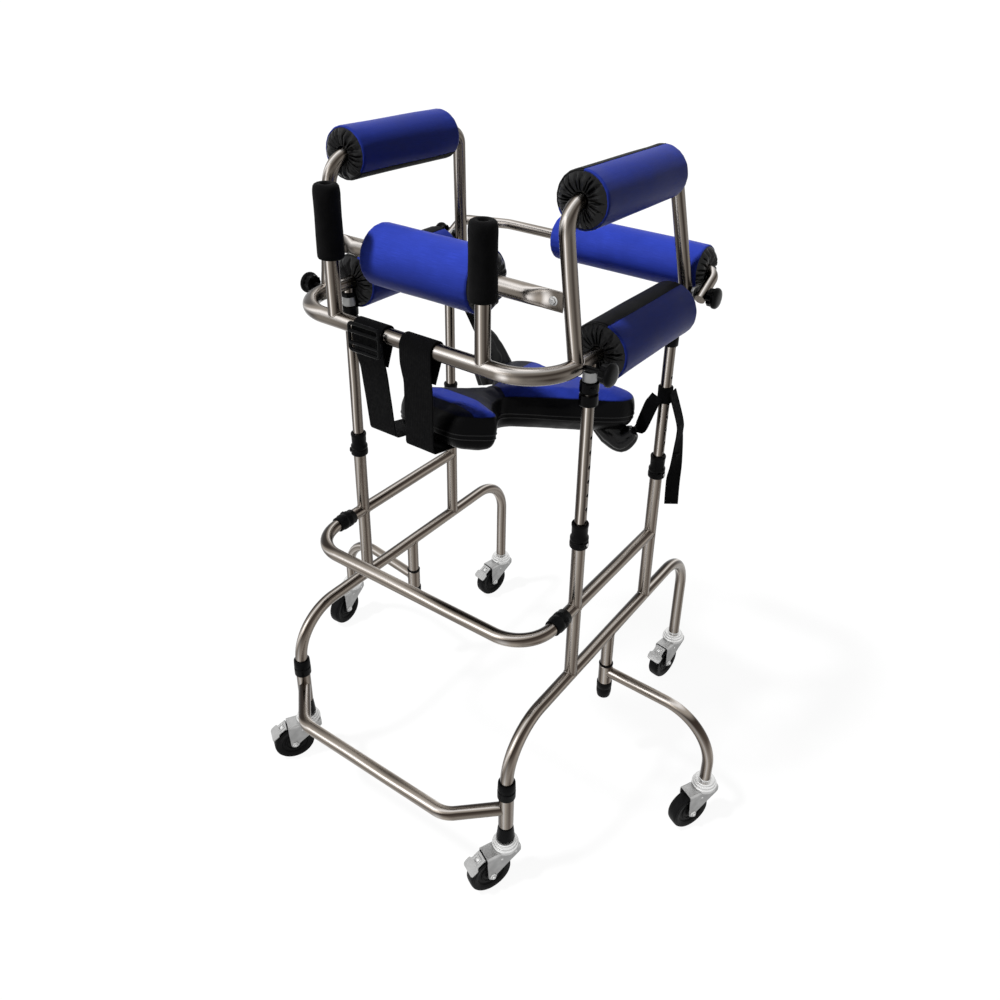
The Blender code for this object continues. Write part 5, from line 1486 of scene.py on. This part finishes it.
def puffed(made, pressure, frames, reach, shrink):
    """Blow the cushion up a little as cloth, and keep how far each point went below the reach."""
    scene = bpy.context.scene
    cloth = made.modifiers.new("Puff", "CLOTH")
    settings = cloth.settings
    settings.quality = 6
    settings.use_pressure = True
    settings.uniform_pressure_force = pressure
    settings.shrink_min = shrink
    settings.bending_stiffness = 0.8
    settings.effector_weights.gravity = 0.0
    cloth.collision_settings.use_collision = False
    cloth.collision_settings.use_self_collision = False
    cloth.point_cache.frame_start = 1
    cloth.point_cache.frame_end = frames
    for number in range(1, frames + 1):
        scene.frame_set(number)
    depsgraph = bpy.context.evaluated_depsgraph_get()
    blown = [vertex.co.copy() for vertex in made.evaluated_get(depsgraph).data.vertices]
    made.modifiers.clear()
    for vertex, spot in zip(made.data.vertices, blown):
        move = spot - vertex.co
        if move.length > reach:
            move = move.normalized() * reach
        vertex.co = vertex.co + move
    scene.frame_set(1)


class WALKER_OT_seat(bpy.types.Operator):
    """Saddle seat: a padded cushion with dark sides and double piping"""

    bl_idname = "walker.seat"
    bl_label = "Saddle seat"

    def execute(self, context):
        look = finishes()
        ring = seat_outline(3)
        thick = SEAT_THICKNESS
        layers = [(0.030, -0.001), (0.012, 0.0005), (0.0045, 0.003), (0.0015, 0.009), (0.0, 0.020)]
        layers += [(-0.0005, thick / 2), (0.0005, thick - 0.020), (0.003, thick - 0.011), (0.008, thick - 0.004)]
        layers += [(0.016, thick - 0.001), (0.03, thick)]
        cushion = Shape()
        rings = [[seat_space(p.x, p.y, depth) for p in inset(ring, back + 0.003)] for back, depth in layers]
        cushion.rings(rings, caps=(True, True))
        made = linked("Saddle_seat", cushion.mesh("Seat", [look.seat]))
        change = made.modifiers.new("Even mesh", "REMESH")
        change.mode = "VOXEL"
        change.voxel_size = SEAT_VOXEL
        apply_modifiers(made)
        puffed(made, 4.0, 20, 0.006, 0.0)
        self.relax(made.data, 3)
        self.wrinkle(made.data)
        self.chart(made.data)
        made.data.shade_smooth()
        change = made.modifiers.new("Smooth", "SUBSURF")
        change.levels = 1
        change.render_levels = 1
        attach(made, "upper_frame")
        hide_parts("saddle_seat")
        self.piping(made, ring)
        return {"FINISHED"}

    def relax(self, mesh, rounds):
        """Smooth the steps that the even mesh leaves."""
        work = bmesh.new()
        work.from_mesh(mesh)
        for _ in range(rounds):
            bmesh.ops.smooth_vert(work, verts=work.verts, factor=0.5, use_axis_x=True, use_axis_y=True, use_axis_z=True)
        work.to_mesh(mesh)
        work.free()

    def wrinkle(self, mesh):
        """Pull short folds into the side walls, arch the underside and dimple the top."""
        upward = seat_space(0, 0, -1) - seat_space(0, 0, 0)
        for vertex in mesh.vertices:
            u, v, w = to_seat(vertex.co - ORIGIN)
            side = clamped((w - 0.006) / 0.016) * clamped((SEAT_THICKNESS - 0.004 - w) / 0.016)
            fold = rough((u * 34.0, v * 34.0, w * 11.0), 1.0, 4.0)
            long_fold = rough((u * 15.0 + w * 26.0, v * 15.0 - w * 20.0, w * 8.0), 1.0, 8.0)
            waist = math.exp(-((v + 0.03) / 0.05) ** 2)
            lift = side * ((0.0012 + 0.0022 * waist) * fold + 0.0024 * long_fold)
            lift += (1.0 - side) * 0.0007 * rough((u * 14.0, v * 14.0, w * 14.0), 1.0, 2.0)
            vertex.co += vertex.normal * lift
            arch = 0.0045 * math.exp(-((v - 0.02) / 0.07) ** 2) + 0.003 * clamped((v - 0.08) / 0.08)
            vertex.co += upward * (arch * clamped((w - 0.03) / 0.025))

    def chart(self, mesh):
        """Store each point's place across and along the seat, and its depth under the top."""
        below = mesh.attributes.new("Below", "FLOAT", "POINT")
        spots = [to_seat(vertex.co - ORIGIN) for vertex in mesh.vertices]
        below.data.foreach_set("value", [spot[2] for spot in spots])
        layer = mesh.uv_layers.new(name="Cloth")
        for loop in mesh.loops:
            layer.data[loop.index].uv = spots[loop.vertex_index][:2]

    def piping(self, made, ring):
        """Two lines of piping round the side wall, laid on the cushion's own surface."""
        depsgraph = bpy.context.evaluated_depsgraph_get()
        tree = BVHTree.FromObject(made, depsgraph)
        lines = Shape()
        normal = seat_space(0, 0, -1) - seat_space(0, 0, 0)
        for depth in (0.034, 0.041):
            path = []
            for out, into in zip(inset(ring, -0.020), inset(ring, 0.012)):
                a = seat_space(out.x, out.y, depth) + ORIGIN
                b = seat_space(into.x, into.y, depth) + ORIGIN
                hit = tree.ray_cast(a, (b - a).normalized())[0]
                path.append((hit if hit is not None else (a + b) / 2) - ORIGIN)
            soft = []
            for i, point in enumerate(path):
                soft.append((path[i - 1] + point * 2 + path[(i + 1) % len(path)]) / 4)
            sweep(lines, soft, 0.0011, 8, caps=(False, False), loop=True, first_side=normal)
        lines.build("Seat_piping", [finishes().nylon], "upper_frame", "blue_cover", (), 60.0)


# Front webs: place on the bar, and the bottom of the fall
FRONT_STRAPS = ((-0.062, Vector((-0.073, -0.105, 0.732))), (0.030, Vector((0.009, -0.1135, 0.735))))


def front_web_path(x, bottom):
    """From below the bar's back, over the bar, down the front to the bottom and back under the seat's nose."""
    web = 0.0025
    wrap = 0.0125 + web / 2 + 0.0009
    front = Vector((x, HANDLEBAR_Y - wrap, SIDE_TUBE_Z))
    join_z = 0.862
    hang_y = front.lerp(bottom, (join_z - front.z) / (bottom.z - front.z)).y + web + 0.0006 - HANDLEBAR_Y
    hang_z = join_z - SIDE_TUBE_Z
    first = math.atan2(hang_z, hang_y) + math.acos(wrap / math.hypot(hang_y, hang_z))
    points = [Vector((x, HANDLEBAR_Y + hang_y, join_z))]
    for i in range(17):
        angle = first + (math.pi - first) * i / 16
        points.append(Vector((x, HANDLEBAR_Y + wrap * math.cos(angle), SIDE_TUBE_Z + wrap * math.sin(angle))))
    points += bent([points[-1], bottom, (bottom.x, 0.0, bottom.z - 0.022)], [0.012], 8)[1:]
    return points


class WALKER_OT_front_straps(bpy.types.Operator):
    """Two front webs over the handlebar, with a ladder buckle on one"""

    bl_idname = "walker.front_straps"
    bl_label = "Front straps"

    def execute(self, context):
        webbing = context.scene.walker_webbing
        look = finishes()
        straps = Shape()
        ends = []
        for x, bottom in FRONT_STRAPS:
            path = front_web_path(x, bottom)
            ends.append(path[-1])
            dense = []
            for a, b in zip(path, path[1:]):
                count = max(1, int((b - a).length / 0.008))
                dense += [a.lerp(b, k / count) for k in range(count)]
            dense.append(path[-1])
            wide = []
            top = max(range(len(dense)), key=lambda i: dense[i].z)
            for i, point in enumerate(dense):
                hang = clamped((SIDE_TUBE_Z - 0.03 - point.z) / 0.03) if i > top else 0.0
                dense[i] = point + BACK * (-0.0008 * hang * rough((x * 30.0, 0.0, point.z * 22.0), 1.0, 3.0))
                dense[i] += RIGHT * (0.004 * hang)
                wide.append(webbing.front - 0.004 * hang)
            ribbon(straps, dense, RIGHT, wide, webbing.thickness)
        half = RIGHT * (webbing.front / 2)
        drop = Vector((0.0, -0.0165, -webbing.thickness * 0.6))
        left, right = ends[0] - half + drop, ends[1] + half + drop
        ribbon(straps, [left.lerp(right, k / 8) for k in range(9)], BACK, 0.037, webbing.thickness)
        straps.build("Front_straps", [look.webbing], "upper_frame", "webbing", ["front_strap"])
        buckle = Shape()
        x, y, z = FRONT_STRAPS[0][0], HANDLEBAR_Y - 0.0195, SIDE_TUBE_Z - 0.008
        wide, tall = 0.029, 0.021
        corners = [(0, tall), (wide, tall), (wide, -tall), (-wide, -tall), (-wide, tall), (0, tall)]
        outline = bent([(x + across, y, z + rise) for across, rise in corners], [0.005] * 4, 6)
        sweep(buckle, outline, 0.0028, 12, caps=(False, False))
        for lift in (-0.009, 0.009):
            sweep(buckle, [(x - wide, y - 0.0006, z + lift), (x + wide, y - 0.0006, z + lift)], 0.0026, 12)
        buckle.build("Front_buckle", [look.gloss], "upper_frame", "black_plastic")
        return {"FINISHED"}


class WALKER_OT_rear_straps(bpy.types.Operator):
    """The rear web under the wings, its loops round the rear legs and its loose tail"""

    bl_idname = "walker.rear_straps"
    bl_label = "Rear straps"

    def execute(self, context):
        webbing = context.scene.walker_webbing
        look = finishes()
        y = UPRIGHT_Y["rear"]
        thick = webbing.thickness
        under = SEAT_THICKNESS + thick
        across = SEAT_TURN @ RIGHT
        backwards = SEAT_TURN @ BACK
        straps = Shape()
        ends = [seat_space(u, 0.165, under) for u in (-0.125, 0.125)]
        ribbon(straps, [ends[0].lerp(ends[1], k / 12) for k in range(13)], backwards, webbing.rear, thick)
        rises = {
            "right": (
                ((0.115, 0.170, 0.004), (0.136, 0.213, 0.007)),
                (Vector((0.2215, 0.2395, 0.7360)), Vector((0.2265, 0.2492, 0.7475))),
                (across, RIGHT, 0.025, 0.737, 0.765),
            ),
            "left": (
                ((-0.115, 0.170, 0.004), (-0.160, 0.185, 0.005)),
                (Vector((-0.1500, 0.2540, 0.7555)), Vector((-0.2255, 0.2560, 0.8720))),
                (backwards, BACK, 0.030, 0.858, 0.886),
            ),
        }
        for side, sign in SIDES.items():
            starts, leg, (first, last, width, low, high) = rises[side]
            path = [seat_space(u, v, SEAT_THICKNESS + w) for u, v, w in starts] + list(leg)
            soft, wide = [], []
            for k, (a, b) in enumerate(zip(path, path[1:])):
                for step in range(10):
                    share = step / 10
                    soft.append(a.lerp(b, share))
                    wide.append(first.lerp(last, clamped(k - 1 + share)))
            soft.append(path[-1])
            wide.append(last)
            for _ in range(3):
                soft = [soft[0], *((a + b * 2 + c) / 4 for a, b, c in zip(soft, soft[1:], soft[2:])), soft[-1]]
            ribbon(straps, soft, wide, width, thick)
            profile = [(0.0099, 0.0), (0.0124, 0.0), (0.0130, 0.0008), (0.0127, 0.0140), (0.0130, high - low - 0.0008)]
            profile += [(0.0124, high - low), (0.0099, high - low)]
            turned(straps, profile, (sign * FRAME_X, y, low))
        straps.build("Rear_straps", [look.webbing], "upper_frame", "webbing", ["rear_strap"])
        self.tail(webbing, look)
        self.pouches(look)
        return {"FINISHED"}

    def tail(self, webbing, look):
        """The loose end that hangs from the right loop, edge-on at first and turned at its tip."""
        tail = Shape()
        points = [(0.2465, 0.264, 0.757), (0.2638, 0.270, 0.7015), (0.2658, 0.270, 0.676), (0.266, 0.270, 0.618)]
        points += [(0.264, 0.270, 0.5836), (0.2655, 0.270, 0.535)]
        turns = [BACK, BACK, BACK, Vector((0.5, 0.85, 0.0)), Vector((0.84, 0.54, 0.0)), Vector((0.84, 0.54, 0.0))]
        path = smooth_path(points, 8)
        wide = []
        for i in range(len(path)):
            place = i / 8
            k = min(int(place), len(turns) - 2)
            wide.append(turns[k].lerp(turns[k + 1], place - k))
        ribbon(tail, path, wide, webbing.tail, webbing.thickness)
        stitch = [path[21] + BACK * (0.0130 * k) for k in (-1.0, -0.9, 0.9, 1.0)]
        sweep(tail, stitch, [0.0020, 0.0032, 0.0032, 0.0020], 16, first_side=UP)
        tail = tail.build("Loose_tail", [look.webbing], "upper_frame", "webbing")

    def pouches(self, look):
        """Gathered black cloth where the webs leave the wings' corners."""
        # Side, direction of the wide half, then places with half the width and half the thickness there
        pouches = (
            ("right", BACK, (
                ((0.146, 0.186, 0.708), 0.018, 0.014), ((0.173, 0.191, 0.689), 0.026, 0.022),
                ((0.195, 0.195, 0.680), 0.026, 0.022), ((0.211, 0.202, 0.694), 0.015, 0.012),
            )),
            ("left", Vector((0.843, 0.538, 0.0)), (
                ((-0.098, 0.225, 0.684), 0.030, 0.018), ((-0.110, 0.232, 0.716), 0.036, 0.020),
                ((-0.130, 0.246, 0.742), 0.026, 0.013), ((-0.150, 0.254, 0.764), 0.016, 0.004),
            )),
        )
        around = 72
        for side, wide_way, stations in pouches:
            path = smooth_path([station[0] for station in stations], 8)
            count = len(path) - 1
            sizes = []
            for i in range(count + 1):
                place = (len(stations) - 1) * i / count
                k = min(int(place), len(stations) - 2)
                pairs = zip(stations[k][1:], stations[k + 1][1:])
                sizes.append(tuple(a + (b - a) * (place - k) for a, b in pairs))
            pouch = Shape()
            sweep(pouch, path, sizes, around, first_side=wide_way)
            for i, point in enumerate(pouch.points):
                ring, k = divmod(i, around)
                fold = ridge(7.0 * 2 * math.pi * k / around + 2.0 * rough(point, 40.0, 2.0), 0.7)
                middle = path[min(ring, count)]
                pouch.points[i] = middle + (point - middle) * (0.86 + 0.20 * fold)
            made = pouch.build(f"Seat_pouch_{side}", [look.nylon], "upper_frame", "blue_cover", (), 70.0)


class WALKER_OT_fittings(bpy.types.Operator):
    """Collars, nuts and clips of the upper frame"""

    bl_idname = "walker.fittings"
    bl_label = "Fittings"

    def execute(self, context):
        look = finishes()
        bore = 0.0096
        for side, sign in SIDES.items():
            x = sign * FRAME_X
            collars = Shape()
            for low, high in ((0.8365, 0.8535), (0.857, 0.8735)):
                tall = high - low
                profile = [(bore, 0.0), (0.0134, 0.0), (0.0142, 0.001), (0.0145, tall * 0.5)]
                profile += [(0.0142, tall - 0.001), (0.0134, tall), (bore, tall)]
                turned(collars, profile, (x, 0.0, low))
            aim = Vector((sign * 0.75, -0.66, 0.0)).normalized()
            snap_button(collars, Vector((x, 0.0, 0.8655)) + aim * 0.0135, aim, 0.0042, 0.0030)
            collars.build(f"Top_collars_{side}", [look.gloss], "upper_frame", "black_plastic")
            nut = Shape()
            profile = [(bore, 0.0), (0.0118, 0.0), (0.0124, 0.0008), (0.0124, 0.0072), (0.0116, 0.0082), (bore, 0.0082)]
            turned(nut, profile, (x, 0.0, 0.8895), sides=6)
            turned(nut, [(bore, 0.0), (0.0110, 0.0), (0.0110, 0.0150), (bore, 0.0150)], (x, 0.0, 0.8745), slot=1)
            nut.build(f"Leg_nut_{side}", [look.plastic, look.clip], "upper_frame", "steel", ())
            sleeve = Shape()
            profile = [(bore, 0.0), (0.0120, 0.0), (0.0127, 0.0010), (0.0127, 0.0190), (0.0120, 0.0200), (bore, 0.0200)]
            turned(sleeve, profile, (x, UPRIGHT_Y["rear"], 0.8412 if side == "right" else 0.8365))
            clip = Shape()
            outline = [(0.286, 0.9125), (0.311, 0.9125), (0.314, 0.9165), (0.312, 0.9345), (0.290, 0.9360)]
            outline.append((0.285, 0.9310))
            sheet_metal(clip, outline, 0.0048, lambda u, v, w: Vector((sign * (0.2482 + w), u, v)))
            clip = clip.build(f"Bar_clip_{side}", [look.clip], "upper_frame", "black_plastic")
            rounded(clip, 0.0014)
            sleeve.build(f"Rear_sleeve_{side}", [look.plastic], "upper_frame", "black_plastic")
        return {"FINISHED"}


# ------- stage

# The photo's camera: spot, then azimuth, elevation and roll in radians, then lens and its shifts
CAMERA_SPOT = Vector((0.8013, -0.9892, 1.4168))
CAMERA_AZIMUTH, CAMERA_ELEVATION, CAMERA_ROLL = 0.5686, 0.4818, 0.0435
CAMERA_LENS, CAMERA_SHIFT = 32.04, (-0.0492, -0.0884)
FLOOR_HALF = 60.0

class WALKER_OT_stage(bpy.types.Operator):
    """Camera, soft studio light and a plain pale floor"""

    bl_idname = "walker.stage"
    bl_label = "Stage"

    def execute(self, context):
        scene = context.scene
        right = Vector((math.cos(CAMERA_AZIMUTH), math.sin(CAMERA_AZIMUTH), 0.0))
        level = right.cross(UP) * math.cos(CAMERA_ELEVATION)
        back = level + UP * math.sin(CAMERA_ELEVATION)
        up = back.cross(right)
        across = right * math.cos(CAMERA_ROLL) + up * math.sin(CAMERA_ROLL)
        upward = back.cross(across)
        lens = bpy.data.cameras.new("Camera")
        lens.lens = CAMERA_LENS
        lens.sensor_width = 36.0
        lens.shift_x, lens.shift_y = CAMERA_SHIFT
        camera = linked("Camera", lens)
        turn = Matrix((across, upward, back)).transposed().to_4x4()
        camera.matrix_world = Matrix.Translation(CAMERA_SPOT + ORIGIN) @ turn
        scene.camera = camera

        world = bpy.data.worlds.new("Studio")
        scene.world = world
        world.use_nodes = True
        tree = world.node_tree
        sky = tree.nodes["Background"]
        sky.inputs["Color"].default_value = (1.0, 1.0, 1.0, 1.0)
        strength = self.seen(tree, 0.07, 1.0)
        tree.links.new(strength, sky.inputs["Strength"])

        lamps = (("Key", 2.7, 6.0, (-0.35, -0.44, 1.0)), ("Fill", 0.45, 35.0, (-0.35, -1.0, 0.60)))
        for name, energy, spread, aim in lamps:
            sun = bpy.data.lights.new(name, "SUN")
            sun.energy = energy
            sun.angle = math.radians(spread)
            lamp = linked(name, sun)
            lamp.visible_glossy = name == "Fill"
            lamp.matrix_world = Vector(aim).normalized().to_track_quat("Z", "Y").to_matrix().to_4x4()

        floor = Shape()
        floor.rings([[(x * FLOOR_HALF, y * FLOOR_HALF, 0.0) for x in (-1, 1)] for y in (-1, 1)], wrap=False)
        made = linked("Floor", floor.mesh("Floor", [self.floor_finish()], origin=Vector()))
        return {"FINISHED"}

    def seen(self, tree, unseen, seen):
        """unseen for rays that light things, seen for rays that show the background."""
        path = tree.nodes.new("ShaderNodeLightPath")
        total = path.outputs["Is Camera Ray"]
        for ray in ("Is Glossy Ray", "Is Transmission Ray"):
            adding = tree.nodes.new("ShaderNodeMath")
            adding.operation = "ADD"
            adding.use_clamp = True
            tree.links.new(total, adding.inputs[0])
            tree.links.new(path.outputs[ray], adding.inputs[1])
            total = adding.outputs[0]
        spread = tree.nodes.new("ShaderNodeMapRange")
        tree.links.new(total, spread.inputs["Value"])
        spread.inputs["To Min"].default_value = unseen
        spread.inputs["To Max"].default_value = seen
        return spread.outputs["Result"]

    def floor_finish(self):
        """White to the eye and in reflections, with the object's shadow, and dim as a source of light."""
        made = Finish("Pale floor")
        made.colour(made.ramp(made.speckle(30.0, 3.0), [(0.4, (0.095, 0.095, 0.095)), (0.6, (0.10, 0.10, 0.10))]))
        made.plain(Roughness=0.9, Specular_IOR_Level=0.1)
        made.shader.inputs["Emission Color"].default_value = (1.0, 1.0, 1.0, 1.0)
        made.feed(made.shader.inputs["Emission Strength"], self.seen(made.tree, 0.0, 0.94))
        return made.material


# ------- panel and run


OPERATORS = (
    WALKER_OT_stage,
    WALKER_OT_side_frames,
    WALKER_OT_crossbars,
    WALKER_OT_collars,
    WALKER_OT_outriggers,
    WALKER_OT_casters,
    WALKER_OT_inner_legs,
    WALKER_OT_upper_tubes,
    WALKER_OT_handlebar,
    WALKER_OT_arm_rolls,
    WALKER_OT_side_rolls,
    WALKER_OT_front_roll,
    WALKER_OT_back_roll,
    WALKER_OT_knobs,
    WALKER_OT_seat,
    WALKER_OT_front_straps,
    WALKER_OT_rear_straps,
    WALKER_OT_fittings,
)


class WALKER_PT_panel(bpy.types.Panel):
    """Sizes, colours and pieces of the walking frame"""

    bl_idname = "WALKER_PT_panel"
    bl_label = "Walking Frame"
    bl_space_type = "VIEW_3D"
    bl_region_type = "UI"
    bl_category = "Walking Frame"

    def draw(self, context):
        layout = self.layout
        for name, group in GROUPS.items():
            box = layout.box()
            box.label(text=group.__doc__.strip(". \n"))
            settings = getattr(context.scene, name)
            for key in group.__annotations__:
                box.prop(settings, key)
        column = layout.column(align=True)
        for operator in OPERATORS:
            column.operator(operator.bl_idname, text=operator.bl_label)


def register():
    for item in (*GROUPS.values(), *OPERATORS, WALKER_PT_panel):
        bpy.utils.register_class(item)
    for name, group in GROUPS.items():
        setattr(bpy.types.Scene, name, PointerProperty(type=group))


def unregister():
    for name in GROUPS:
        delattr(bpy.types.Scene, name)
    for item in reversed((*GROUPS.values(), *OPERATORS, WALKER_PT_panel)):
        bpy.utils.unregister_class(item)


def clear_start_scene():
    """Take away what Blender's start file brings, and leave the frame's own objects."""
    own = set(frame["nodes"].values()) | set(frame["bodies"].values())
    for item in list(bpy.data.objects):
        if item not in own:
            bpy.data.objects.remove(item, do_unlink=True)


def main():
    clear_start_scene()
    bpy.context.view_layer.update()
    register()
    bpy.context.scene.view_settings.view_transform = "Standard"
    for operator in OPERATORS:
        group, call = operator.bl_idname.split(".")
        getattr(getattr(bpy.ops, group), call)()


if __name__ == "__main__":
    main()
